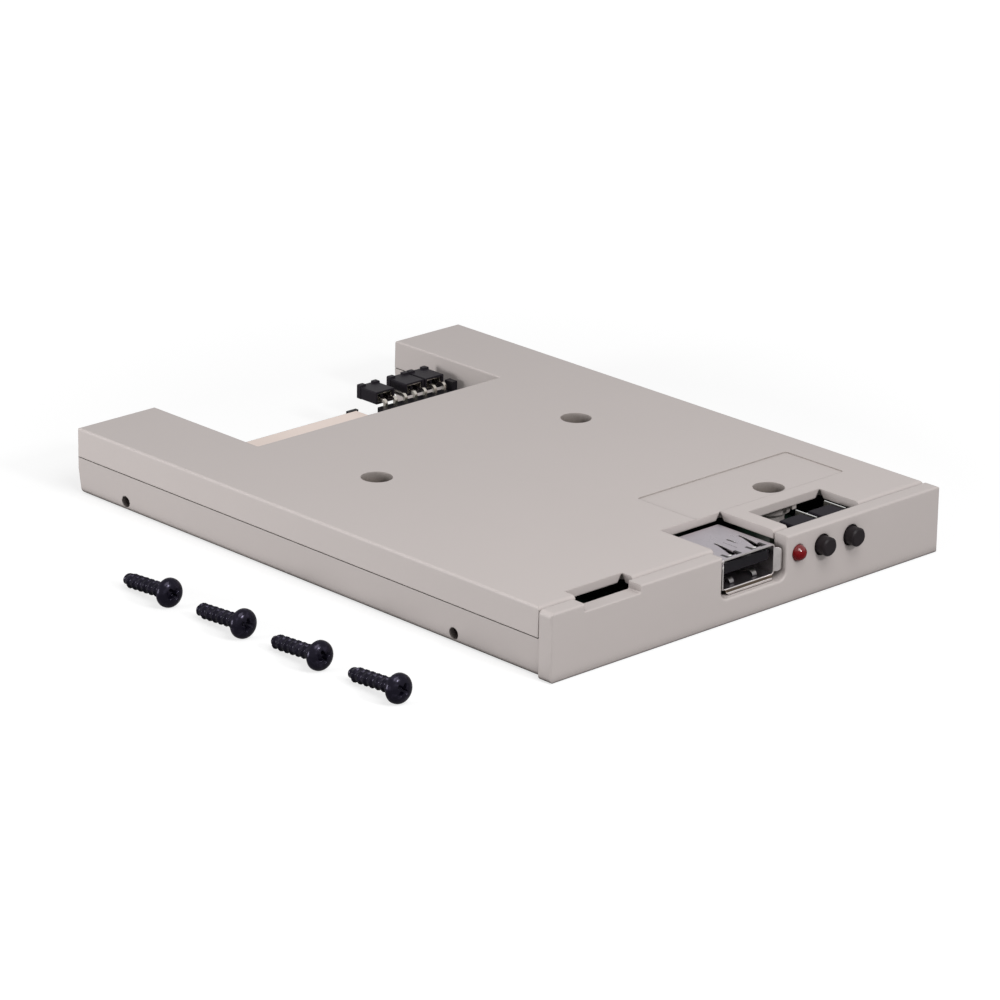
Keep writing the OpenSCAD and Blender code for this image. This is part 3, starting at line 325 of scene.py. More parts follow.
@dataclass(frozen=True)
class Finish:
    """What every finish has.

    Attributes:
        name: The material's name.
        colour: Its base colour.
        roughness: Its middle roughness.
        edge: The radius that catches light along sharp edges.
        grain: The size of the surface's texture.
        relief: The height of that texture.
        patch: The size of broad patches.
        wander: How far the roughness varies with the texture.
    """

    name: str
    colour: Colour
    roughness: float
    edge: float = 0.15 * MM
    grain: float = 0.35 * MM
    relief: float = 0.004 * MM
    patch: float = 22.0 * MM
    wander: float = 0.1

    def material(self) -> bpy.types.Material:
        """Makes the material.

        Returns:
            The finished material.
        """
        material = bpy.data.materials.new(self.name)
        material.use_nodes = True
        graph = Graph(material.node_tree)
        shader = graph.node("ShaderNodeBsdfPrincipled", {}, self.surface(graph))
        graph.node("ShaderNodeOutputMaterial", {}, {"Surface": shader.outputs[0]})
        return material

    def surface(self, graph: Graph) -> dict[str, Any]:
        """What the surface shader is given, in each kind of finish.

        Args:
            graph: The material's graph.

        Returns:
            The shader's inputs.
        """
        raise NotImplementedError

    def relief_normal(self, graph: Graph, height: Sock) -> bpy.types.NodeSocket:
        """The normal of a softened edge with the texture's bumps on it.

        Args:
            graph: The material's graph.
            height: The bumps' height from 0 to 1.

        Returns:
            The normal's socket.
        """
        soft = graph.softened(self.edge)
        sockets = {"Strength": 1.0, "Distance": self.relief, "Height": height, "Normal": soft}
        return graph.node("ShaderNodeBump", {}, sockets).outputs[0]


@dataclass(frozen=True)
class MouldedPlastic(Finish):
    """Injection-moulded plastic with the fine texture of its mould, a painted highlight on its
    edges and painted shade in its hollows.

    Attributes:
        mottle: How far the colour varies.
        drift: How far the roughness varies over broad patches.
        specular: The shader's specular level.
        edge_highlight_tint: The painted highlight colour that thin edges take.
        edge_highlight_amount: How much of that painted highlight they take.
        painted_shade_tint: The painted shade deep in holes and corners.
        painted_shade_reach: How far light reaches into them for that painted shade, or 0 for none.
        alone: Whether only the part's own hollows count.
    """

    mottle: float = 0.02
    drift: float = 0.08
    specular: float = 0.5
    edge_highlight_tint: Colour = (0.68, 0.62, 0.55)
    edge_highlight_amount: float = 0.0
    painted_shade_tint: Colour = (0.10, 0.075, 0.055)
    painted_shade_reach: float = 0.0
    alone: bool = True

    def surface(self, graph: Graph) -> dict[str, Any]:
        """The plastic's colour, roughness, shine and normal.

        Args:
            graph: The material's graph.

        Returns:
            The shader's inputs.
        """
        broad = graph.noise(self.patch, detail=3.0)
        fine = graph.noise(self.grain)
        low = shade(self.colour, 1.0 - self.mottle)
        high = shade(self.colour, 1.0 + self.mottle)
        body = graph.mix(broad + fine.swing(amount=0.3), low, high)
        # Painted highlight along thin edges.
        if self.edge_highlight_amount > 0.0:
            body = graph.mix(graph.rounding(self.edge) * self.edge_highlight_amount, body, self.edge_highlight_tint)
        # Painted shade deep in holes and corners.
        if self.painted_shade_reach > 0.0:
            body = graph.mix(graph.hollow(self.painted_shade_reach, self.alone), body, self.painted_shade_tint)
        return {
            "Base Color": body,
            "Roughness": broad.swing(self.drift) + fine.swing(self.wander) + self.roughness,
            "Specular IOR Level": self.specular,
            "Normal": self.relief_normal(graph, fine),
        }


@dataclass(frozen=True)
class PlatedMetal(Finish):
    """Plated sheet or wire with fine rolling marks along one way; some parts also take painted
    light on faces that look up and painted shade in hollows, on a rolled lip and beside spring
    fingers.

    Attributes:
        along: How much finer the marks are along each axis.
        dulling: How far the roughness varies over broad patches.
        tarnish: The colour of duller patches.
        upper: The colour painted on the faces that look up for how light falls on them, where it
            differs: painted shade on the shell, a painted highlight on the bracket.
        lip: The height and half width of a rolled lip's painted dark band of shade, where there is
            one.
        lip_shade_tint: The colour of that painted shade.
        painted_shade_reach: How far light reaches into hollows for their painted shade, or 0 for
            none.
        painted_shade_tint: The painted shade deep in hollows and in the openings beside the
            fingers.
        painted_openings: The tips of the spring fingers in its upper sheet, with painted shade for
            an opening on each side.
        gap_inner: How far from the tip's middle an opening starts along X.
        gap_outer: Where it ends along X.
        gap_half: Its half length along Y.
    """

    grain: float = 0.3 * MM
    relief: float = 0.002 * MM
    patch: float = 3.0 * MM
    along: Point = (6.0, 0.5, 6.0)
    dulling: float = 0.12
    tarnish: Colour = (0.45, 0.44, 0.42)
    upper: Colour | None = None
    lip: Pair | None = None
    lip_shade_tint: Colour = (0.13, 0.10, 0.075)
    painted_shade_reach: float = 0.0
    painted_shade_tint: Colour = (0.03, 0.026, 0.028)
    painted_openings: tuple[Point, ...] = ()
    gap_inner: float = 0.42 * MM
    gap_outer: float = 1.95 * MM
    gap_half: float = 0.9 * MM

    def surface(self, graph: Graph) -> dict[str, Any]:
        """The metal's colour, roughness and normal.

        Args:
            graph: The material's graph.

        Returns:
            The shader's inputs.
        """
        marks = graph.noise(self.grain, detail=3.0, stretch=self.along)
        cloud = graph.noise(self.patch, detail=3.0)
        dull = cloud.swing(amount=2.0).at_least(0.0)
        body = graph.mix(dull, self.colour, self.tarnish)
        # Painted light on faces that look up: painted shade on the shell's top, a painted highlight
        # on the bracket's upper faces.
        if self.upper:
            painted_top_light = graph.mix(dull, self.upper, shade(self.upper, factor=0.85))
            body = graph.mix(graph.facing_up(), body, painted_top_light)
        # Painted dark band of shade along the rolled lower lip.
        if self.lip:
            body = graph.mix(self.band(graph), body, self.lip_shade_tint)
        # Painted shade deep in hollows.
        if self.painted_shade_reach > 0.0:
            body = graph.mix(graph.hollow(self.painted_shade_reach), body, self.painted_shade_tint)
        # Painted shade for the openings beside the spring fingers' tips.
        for tip in self.painted_openings:
            body = graph.mix(self.opening(graph, tip), body, self.painted_shade_tint)
        return {
            "Base Color": body,
            "Metallic": 1.0,
            "Roughness": cloud.swing(self.dulling) + marks.swing(self.wander) + self.roughness,
            "Normal": self.relief_normal(graph, marks),
        }

    def opening(self, graph: Graph, tip: Point) -> Sock:
        """1 in the painted shade of the openings on both sides of a spring finger's tip, 0
        elsewhere.

        Args:
            graph: The material's graph.
            tip: The middle of the finger's tip.

        Returns:
            The value.
        """
        x, y, z = graph.axes()
        across, along = x - tip[0], y - tip[1]
        off = across.at_least(across * -1.0)
        inside = (off - self.gap_inner).at_most(self.gap_outer - off)
        inside = inside.at_most(self.gap_half - along.at_least(along * -1.0))
        return inside.at_most(z - tip[2]).ramp(rise=14.0 / MM)

    def band(self, graph: Graph) -> Sock:
        """1 along the painted dark band of shade on a rolled lip, 0 elsewhere.

        Args:
            graph: The material's graph.

        Returns:
            The value.
        """
        middle, half = self.lip
        offset = graph.axes()[2] - middle
        square = offset * offset * (1.0 / half**2)
        return (1.0 - square).ramp(rise=2.5)


@dataclass(frozen=True)
class BlackOxide(Finish):
    """Steel blackened and oiled, with the metal just showing through on its high spots.

    Attributes:
        bare: The colour of the rubbed spots.
        rub_level: The noise's value from which a spot is rubbed.
        metal: How metallic it looks.
        specular: The shader's specular level.
    """

    patch: float = 0.9 * MM
    wander: float = 0.15
    bare: Colour = (0.050, 0.043, 0.072)
    rub_level: float = 0.52
    metal: float = 0.55
    specular: float = 0.3

    def surface(self, graph: Graph) -> dict[str, Any]:
        """The blackened steel's colour, roughness, shine and normal.

        Args:
            graph: The material's graph.

        Returns:
            The shader's inputs.
        """
        cloud = graph.noise(self.patch, detail=4.0)
        fine = graph.noise(self.grain)
        rubbed = (cloud - self.rub_level).ramp(rise=3.0)
        return {
            "Base Color": graph.mix(rubbed, self.colour, self.bare),
            "Metallic": self.metal,
            "Roughness": fine.swing(self.wander) + self.roughness,
            "Specular IOR Level": self.specular,
            "Normal": self.relief_normal(graph, fine),
        }


@dataclass(frozen=True)
class Epoxy(Finish):
    """The coloured cast resin of a light.

    Attributes:
        deep: The colour inside the resin.
        reach: How far light goes into it.
        soft: The share of light that goes in.
        specular: The shader's specular level.
        polish: The roughness of its upper side's shine.
        index: The refractive index there.
    """

    patch: float = 1.2 * MM
    wander: float = 0.04
    deep: Colour = (0.6, 0.02, 0.02)
    reach: float = 0.8 * MM
    soft: float = 0.1
    specular: float = 0.22
    polish: float = 0.12
    index: float = 1.6

    def surface(self, graph: Graph) -> dict[str, Any]:
        """The resin's colour, depth, shine and normal.

        Args:
            graph: The material's graph.

        Returns:
            The shader's inputs.
        """
        cloud = graph.noise(self.patch)
        return {
            "Base Color": graph.mix(cloud, self.colour, shade(self.colour, factor=1.2)),
            "Roughness": cloud.swing(self.wander) + self.roughness,
            "Subsurface Weight": self.soft,
            "Subsurface Radius": self.deep,
            "Subsurface Scale": self.reach,
            "Specular IOR Level": self.specular,
            "Coat Weight": graph.facing_up(level=0.4, slope=8.0),
            "Coat Roughness": self.polish,
            "Coat IOR": self.index,
            "Normal": self.relief_normal(graph, cloud),
        }


@dataclass(frozen=True)
class BoardLaminate(Finish):
    """A circuit board: solder mask over copper tracks, and bare laminate on its cut edges.

    Attributes:
        track: The colour of the mask where copper lies under it.
        pitch: The distance between tracks.
        sway: How many tracks' widths they wander.
        gap: Where a track's side lies between two tracks' middles.
        weave: The size of the glass weave.
        top: Height of the board's upper face.
        bottom: Height of its lower face.
        laminate: The colour of the cut edges.
        rim: How far the cut edges' colour stays off both faces.
        coat: How much clear coat the mask has.
        polish: The roughness of that coat.
    """

    patch: float = 7.0 * MM
    track: Colour = (0.018, 0.05, 0.034)
    pitch: float = 1.6 * MM
    sway: float = 3.0
    gap: float = 0.3
    weave: float = 0.5 * MM
    top: float = 5.0 * MM
    bottom: float = 3.4 * MM
    laminate: Colour = (0.32, 0.31, 0.19)
    rim: float = 0.05 * MM
    coat: float = 0.5
    polish: float = 0.2

    def surface(self, graph: Graph) -> dict[str, Any]:
        """The board's colour, roughness, coat and normal.

        Args:
            graph: The material's graph.

        Returns:
            The shader's inputs.
        """
        x, _, height = graph.axes()
        lanes = x * (1.0 / self.pitch) + graph.noise(self.patch, detail=1.0) * self.sway
        tracks = (lanes.folded(size=0.5) - self.gap).ramp(rise=12.0)
        weave = graph.noise(self.weave, detail=1.0, stretch=(1.0, 1.0, 0.2))
        above = height - (self.bottom + self.rim)
        cut = above.at_most((self.top - self.rim) - height).ramp(rise=20.0 / MM)
        mask = graph.mix(tracks, self.colour, self.track)
        return {
            "Base Color": graph.mix(cut, mask, self.laminate),
            "Roughness": weave.swing(self.wander) + self.roughness,
            "Coat Weight": self.coat,
            "Coat Roughness": self.polish,
            "Normal": self.relief_normal(graph, tracks * 0.6 + weave * 0.3),
        }


class Finishes:
    """Every finish of the drive."""

    # The case halves take a painted highlight on their edges and painted shade in their holes,
    # seams and corners.
    cover = MouldedPlastic(
        "cover_plastic", (0.560, 0.507, 0.490), 0.52, 0.3 * MM, relief=0.006 * MM,
        edge_highlight_amount=0.17, painted_shade_reach=11.0 * MM,
    )
    base = MouldedPlastic(
        "base_plastic", (0.540, 0.489, 0.473), 0.52, 0.3 * MM, relief=0.006 * MM,
        edge_highlight_amount=0.22, painted_shade_reach=3.0 * MM, painted_shade_tint=(0.06, 0.045, 0.04), alone=False,
    )
    # The shell takes painted shade on its top faces, a painted dark band on its lower lip, and
    # painted shade in its hollows and beside its spring fingers.
    shell = PlatedMetal(
        "plated_shell", (0.95, 0.90, 0.89), 0.3, 0.08 * MM,
        upper=(0.62, 0.575, 0.62), lip=(5.38 * MM, 0.2 * MM), painted_shade_reach=1.6 * MM,
        painted_openings=((-2.3 * MM, -59.95 * MM, 10.9 * MM), (3.8 * MM, -59.95 * MM, 10.9 * MM)),
    )
    bead = PlatedMetal("bead_sheet", (0.95, 0.94, 0.93), 0.3, 0.04 * MM)
    spring = PlatedMetal("spring_sheet", (0.34, 0.33, 0.33), 0.35, 0.06 * MM)
    can = PlatedMetal("crystal_can", (0.80, 0.79, 0.78), 0.22, 0.08 * MM)
    # Painted highlight on the bracket's faces that look up.
    bracket = PlatedMetal(
        "bracket_sheet", (0.30, 0.29, 0.26), 0.34, 0.06 * MM,
        tarnish=(0.26, 0.25, 0.22), upper=(0.97, 0.97, 0.96),
    )
    tin = PlatedMetal("tin_plate", (0.72, 0.71, 0.68), 0.34, 0.05 * MM, 0.25 * MM)
    pin = PlatedMetal(
        "pin_plate", (0.82, 0.77, 0.70), 0.22, 0.05 * MM, 0.25 * MM, tarnish=(0.5, 0.43, 0.34)
    )
    solder = PlatedMetal("solder", (0.62, 0.62, 0.63), 0.3, 0.05 * MM, relief=0.006 * MM)
    black = MouldedPlastic("black_plastic", (0.010, 0.009, 0.012), 0.42, 0.12 * MM, specular=0.18)
    cap = MouldedPlastic("cap_plastic", (0.018, 0.015, 0.020), 0.42, 0.15 * MM, specular=0.14)
    switch = MouldedPlastic("switch_plastic", (0.012, 0.009, 0.014), 0.45, 0.1 * MM, specular=0.08)
    stem = MouldedPlastic(
        "stem_plastic", (0.017, 0.013, 0.015), 0.42, 0.1 * MM, relief=0.008 * MM, specular=0.18
    )
    cream = MouldedPlastic("cream_plastic", (0.93, 0.79, 0.72), 0.45, 0.1 * MM)
    chip = MouldedPlastic(
        "chip_epoxy", (0.018, 0.018, 0.019), 0.55, 0.06 * MM, relief=0.008 * MM, specular=0.2
    )
    ceramic = MouldedPlastic("chip_ceramic", (0.30, 0.22, 0.15), 0.45, 0.05 * MM)
    screw = BlackOxide("black_screw", (0.011, 0.009, 0.019), 0.2, 0.05 * MM)
    lamp = Epoxy("red_epoxy", (0.15, 0.001, 0.003), 0.05, 0.05 * MM, relief=0.0)
    board = BoardLaminate("board_laminate", (0.022, 0.038, 0.029), 0.4, 0.08 * MM, relief=0.02 * MM)


@dataclass
class Dresser:
    """Gives CAD parts their finish and adds new pieces to the drive.

    Attributes:
        made: The materials made so far, by name.
    """

    frame: Mapping[str, Any]
    made: dict[str, bpy.types.Material] = field(default_factory=dict)

    def material(self, finish: Finish) -> bpy.types.Material:
        """A finish's material, made once.

        Args:
            finish: The finish.

        Returns:
            Its material.
        """
        if finish.name not in self.made:
            self.made[finish.name] = finish.material()
        return self.made[finish.name]

    def parts(self, **finishes: Finish) -> None:
        """Gives CAD parts their finish.

        Args:
            finishes: The finish of each part, by the part's name.
        """
        for node, finish in finishes.items():
            mesh = self.frame["nodes"][node].data
            mesh.materials.clear()
            mesh.materials.append(self.material(finish))
            log.info("dressed %s", node)

    def piece(
        self,
        name: str,
        mesh: Mesh,
        finish: Finish,
        like: str,
        sharp: float = 35.0,
        stands_for: str | None = None,
    ) -> None:
        """Adds a piece that rides on the drive's body.

        Args:
            name: The piece's name.
            mesh: Its mesh in the drive's frame, freed here.
            finish: Its finish.
            like: The CAD part that it goes with; not used.
            sharp: Edges steeper than this many degrees stay sharp.
            stands_for: The CAD part that it replaces, if any.
        """
        data = bpy.data.meshes.new(name)
        bmesh.ops.recalc_face_normals(mesh, faces=mesh.faces)
        mesh.to_mesh(data)
        mesh.free()
        data.materials.append(self.material(finish))
        data.shade_smooth()
        data.set_sharp_from_angle(angle=math.radians(sharp))
        obj = bpy.data.objects.new(name, data)
        bpy.context.scene.collection.objects.link(obj)
        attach(obj, DRIVE)
        if stands_for:
            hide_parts(stands_for)
        log.info("made %s", name)


class Form:
    """Meshes that several sub-assemblies use."""

    @staticmethod
    def grid(rings: Iterable[Iterable[Vector]]) -> Mesh:
        """A surface through rings of points, closed round each ring and capped at both ends.

        Args:
            rings: Each ring's points, as many in every ring.

        Returns:
            The mesh.
        """
        mesh = bmesh.new()
        rows = [[mesh.verts.new(point) for point in ring] for ring in rings]
        for low, high in zip(rows, rows[1:]):
            for c in range(len(low)):
                n = (c + 1) % len(low)
                mesh.faces.new((low[c], low[n], high[n], high[c]))
        mesh.faces.new(rows[0][::-1])
        mesh.faces.new(rows[-1])
        return mesh

    @staticmethod
    def turns(columns: int) -> list[float]:
        """The angles of points round a ring, in radians."""
        return [math.tau * column / columns for column in range(columns)]

    @staticmethod
    def lathe(profile: Iterable[Pair], centre: Point = (0.0, 0.0, 0.0), columns: int = 24) -> Mesh:
        """A turned shape about an upright axis.

        Args:
            profile: Its radius and height, from one end to the other.
            centre: Where the axis meets height 0.
            columns: Points round the axis.

        Returns:
            The mesh.
        """
        middle = Vector(centre)
        turns = Form.turns(columns)
        return Form.grid(
            [middle + Vector((r * math.cos(a), r * math.sin(a), z)) for a in turns]
            for r, z in profile
        )

    @staticmethod
    def dome(radius: float, steps: int) -> list[Pair]:
        """The outline of a half ball, from its rim up to its tip.

        Args:
            radius: The ball's radius.
            steps: How many straight lines it has.

        Returns:
            Its radius and height at each point.
        """
        turns = [math.pi / 2 * step / steps for step in range(steps + 1)]
        return [(max(radius * math.cos(turn), POINT), radius * math.sin(turn)) for turn in turns]

    @staticmethod
    def join(meshes: Iterable[Mesh]) -> Mesh:
        """Puts several meshes into one.

        Args:
            meshes: The meshes, freed here.

        Returns:
            The joined mesh.
        """
        whole = bmesh.new()
        for mesh in meshes:
            data = bpy.data.meshes.new("joining")
            mesh.to_mesh(data)
            mesh.free()
            whole.from_mesh(data)
            bpy.data.meshes.remove(data)
        return whole

    @staticmethod
    def pad(centre: Point, width: float, length: float, height: float, edge: float) -> Mesh:
        """A low block with rounded edges.

        Args:
            centre: The middle of its lower face.
            width: Its size along X.
            length: Its size along Y.
            height: Its size along Z.
            edge: The radius of its edges.

        Returns:
            The mesh.
        """
        mesh = bmesh.new()
        size = Matrix.Diagonal((width, length, height, 1.0))
        shift = Matrix.Translation(Vector(centre) + Vector((0.0, 0.0, height / 2)))
        bmesh.ops.create_cube(mesh, size=1.0, matrix=shift @ size)
        bmesh.ops.bevel(
            mesh, geom=mesh.edges[:], offset=edge, segments=2, affect="EDGES", profile=0.5
        )
        return mesh


@dataclass
class Assembly:
    """What every sub-assembly has.

    Attributes:
        dresser: What gives parts their finish and adds pieces.
    """

    dresser: Dresser


@dataclass
class CaseHalves(Assembly):
    """The two moulded halves of the case and the screws that close them."""

    def build(self) -> None:
        """Dresses the case."""
        self.dresser.parts(
            upper_case=Finishes.cover, lower_case=Finishes.base, case_screws=Finishes.screw
        )


@dataclass
class UsbSocket(Assembly):
    """The plated socket with its black insulator, its contacts, springs and beads."""

    spring_offset: float = 2.85 * MM
    spring_width: float = 1.5 * MM
    spring_taper: float = 0.35
    spring_sheet: float = 0.22 * MM
    spring_sink: float = 0.02 * MM
    # Depth behind the mouth and height above the floor, in millimetres.
    spring_line: tuple[Pair, ...] = (
        (6.6, 0.02), (5.2, 0.10), (4.2, 0.35), (3.2, 0.75), (2.5, 1.02), (2.0, 1.08),
        (1.6, 0.98), (1.3, 0.70), (1.15, 0.40),
    )
    tongue_recess: float = 0.5 * MM
    floor_gap: float = 0.07 * MM
    bead_offset: float = 3.05 * MM
    bead_depth: float = 1.5 * MM
    bead_radius: float = 0.45 * MM
    bead_drop: float = 0.62 * MM
    bead_sink: float = 0.05 * MM
    bead_steps: int = 6
    curved: float = 50.0

    def build(self) -> None:
        """Dresses the socket and adds its springs and beads."""
        self.dresser.parts(
            usb_shell=Finishes.shell, usb_insulator=Finishes.black, usb_contacts=Finishes.tin
        )
        self.add_springs()
        self.add_beads()

    def add_beads(self) -> None:
        """Adds the small pressed bead on the tip of each upper spring finger."""
        low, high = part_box("usb_insulator")
        middle = (low.x + high.x) / 2
        y = low.y - self.tongue_recess + self.bead_depth
        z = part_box("usb_shell")[1].z - self.bead_drop
        dome = [(POINT, -self.bead_sink)] + Form.dome(self.bead_radius, self.bead_steps)
        beads = Form.join(
            Form.lathe(dome, (middle + side * self.bead_offset, y, z)) for side in (-1.0, 1.0)
        )
        self.dresser.piece("finger_beads", beads, Finishes.bead, "usb_shell", self.curved)

    def add_springs(self) -> None:
        """Adds the two curled springs that rise from the shell's floor behind its mouth."""
        low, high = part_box("usb_insulator")
        middle = (low.x + high.x) / 2
        floor = low.z - self.floor_gap
        front = low.y - self.tongue_recess
        springs = Form.join(
            self.spring(middle + side * self.spring_offset, front, floor) for side in (-1.0, 1.0)
        )
        self.dresser.piece("socket_springs", springs, Finishes.spring, "usb_shell", self.curved)

    def spring(self, x: float, front: float, floor: float) -> Mesh:
        """One spring of bent sheet.

        Args:
            x: Its middle.
            front: Where the shell's mouth is along Y.
            floor: The height of the shell's floor.

        Returns:
            The mesh.
        """
        rings = []
        for row, (y, z) in enumerate(self.spring_line):
            share = row / (len(self.spring_line) - 1)
            half = self.spring_width / 2 * (1.0 - self.spring_taper * share)
            top, under = (
                floor + max(z * MM - drop, -self.spring_sink) for drop in (0.0, self.spring_sheet)
            )
            corners = ((-half, top), (half, top), (half, under), (-half, under))
            rings.append([Vector((x + side, front + y * MM, height)) for side, height in corners])
        return Form.grid(rings)


@dataclass
class FrontControls(Assembly):
    """The light, the two push buttons and their switches."""

    lens_radius: float = 1.5 * MM
    flange_length: float = 1.0 * MM
    dome_steps: int = 16
    columns: int = 48

    def build(self) -> None:
        """Dresses the light and the buttons."""
        self.add_light()
        self.dresser.parts(led_leads=Finishes.tin, switch_terminals=Finishes.tin)
        for number in (1, 2):
            switch = {
                f"switch_body_{number}": Finishes.switch,
                f"switch_bracket_{number}": Finishes.bracket,
                f"button_stem_{number}": Finishes.stem,
            }
            self.dresser.parts(**switch)

    def add_light(self) -> None:
        """Adds the light's smooth lens in place of the plainer one."""
        plain = "activity_led"
        low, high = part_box(plain)
        flange = (high.x - low.x) / 2
        length = high.y - low.y - self.lens_radius
        neck = length - self.flange_length
        dome = [(r, -y) for r, y in reversed(Form.dome(self.lens_radius, self.dome_steps))]
        foot = [(self.lens_radius, neck), (flange, neck), (flange, length), (POINT, length)]
        mesh = Form.lathe(dome + foot, columns=self.columns)
        middle = ((low.x + high.x) / 2, low.y + self.lens_radius, (low.z + high.z) / 2)
        place = Matrix.Translation(middle) @ Matrix.Rotation(-math.pi / 2, 4, "X")
        bmesh.ops.transform(mesh, matrix=place, verts=mesh.verts)
        self.dresser.piece("light_lens", mesh, Finishes.lamp, plain, stands_for=plain)


@dataclass
class RearConnectors(Assembly):
    """The flat-cable connector, the pin header with its jumpers, and their solder."""

    cable_count: int = 26
    cable_pitch: float = 1.0 * MM
    pad_width: float = 0.6 * MM
    pad_length: float = 1.5 * MM
    pad_height: float = 0.04 * MM
    pad_edge: float = 0.015 * MM
    pad_share: float = 0.35
    pin_count: int = 7
    pin_pitch: float = 2.54 * MM
    pin_tail: float = 0.8 * MM
    fillet_foot: float = 0.85 * MM
    fillet_neck: float = 0.42 * MM
    fillet_rim: float = 0.02 * MM
    fillet_share: float = 0.9
    tip_share: float = 0.95
    fillet_steps: int = 7

    def build(self) -> None:
        """Dresses the connectors and adds their solder."""
        self.dresser.parts(
            ribbon_housing=Finishes.cream, ribbon_contacts=Finishes.tin,
            ribbon_slider=Finishes.black, header_base=Finishes.black, header_pins=Finishes.pin,
        )
        for number in (1, 2, 3):
            jumper = {f"jumper_cap_{number}": Finishes.cap, f"jumper_clip_{number}": Finishes.pin}
            self.dresser.parts(**jumper)
        self.add_pads()
        self.add_pin_solder()

    def add_pads(self) -> None:
        """Adds the soldered pads in front of the flat-cable connector."""
        low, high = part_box("ribbon_contacts")
        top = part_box("circuit_board")[1].z
        middle = (low.x + high.x) / 2
        first = middle - (self.cable_count - 1) * self.cable_pitch / 2
        y = low.y + self.pad_length * self.pad_share
        size = (self.pad_width, self.pad_length, self.pad_height, self.pad_edge)
        pads = Form.join(
            Form.pad((first + i * self.cable_pitch, y, top), *size) for i in range(self.cable_count)
        )
        self.dresser.piece("cable_pads", pads, Finishes.solder, "ribbon_contacts")

    def add_pin_solder(self) -> None:
        """Adds the solder cones round the header's pins, under the board."""
        low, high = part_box("header_pins")
        base_low, base_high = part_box("header_base")
        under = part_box("circuit_board")[0].z
        first = (low.x + high.x) / 2 - (self.pin_count - 1) * self.pin_pitch / 2
        y = (base_low.y + base_high.y) / 2
        cones = Form.join(
            Form.lathe(self.fillet(), (first + i * self.pin_pitch, y, under))
            for i in range(self.pin_count)
        )
        self.dresser.piece("header_solder", cones, Finishes.solder, "header_pins")

    def fillet(self) -> list[Pair]:
        """The outline of one solder cone, hollow towards its foot.

        Returns:
            Its radius and height at each point.
        """
        outline = [(POINT, 0.0), (self.fillet_foot, 0.0)]
        spread = self.fillet_foot - self.fillet_neck
        for step in range(self.fillet_steps + 1):
            share = step / self.fillet_steps
            radius = self.fillet_neck + spread * (1.0 - share) ** 2
            drop = self.pin_tail * self.fillet_share * share
            outline.append((radius, -drop - self.fillet_rim))
        outline.append((POINT, -self.pin_tail * self.tip_share))
        return outline


@dataclass
class BoardParts(Assembly):
    """The circuit board and the parts soldered flat on it."""

    def build(self) -> None:
        """Dresses the board."""
        self.dresser.parts(
            circuit_board=Finishes.board, microcontroller=Finishes.chip, buffer_chip=Finishes.chip,
            voltage_regulator=Finishes.chip, crystal=Finishes.can, chip_parts=Finishes.ceramic,
        )


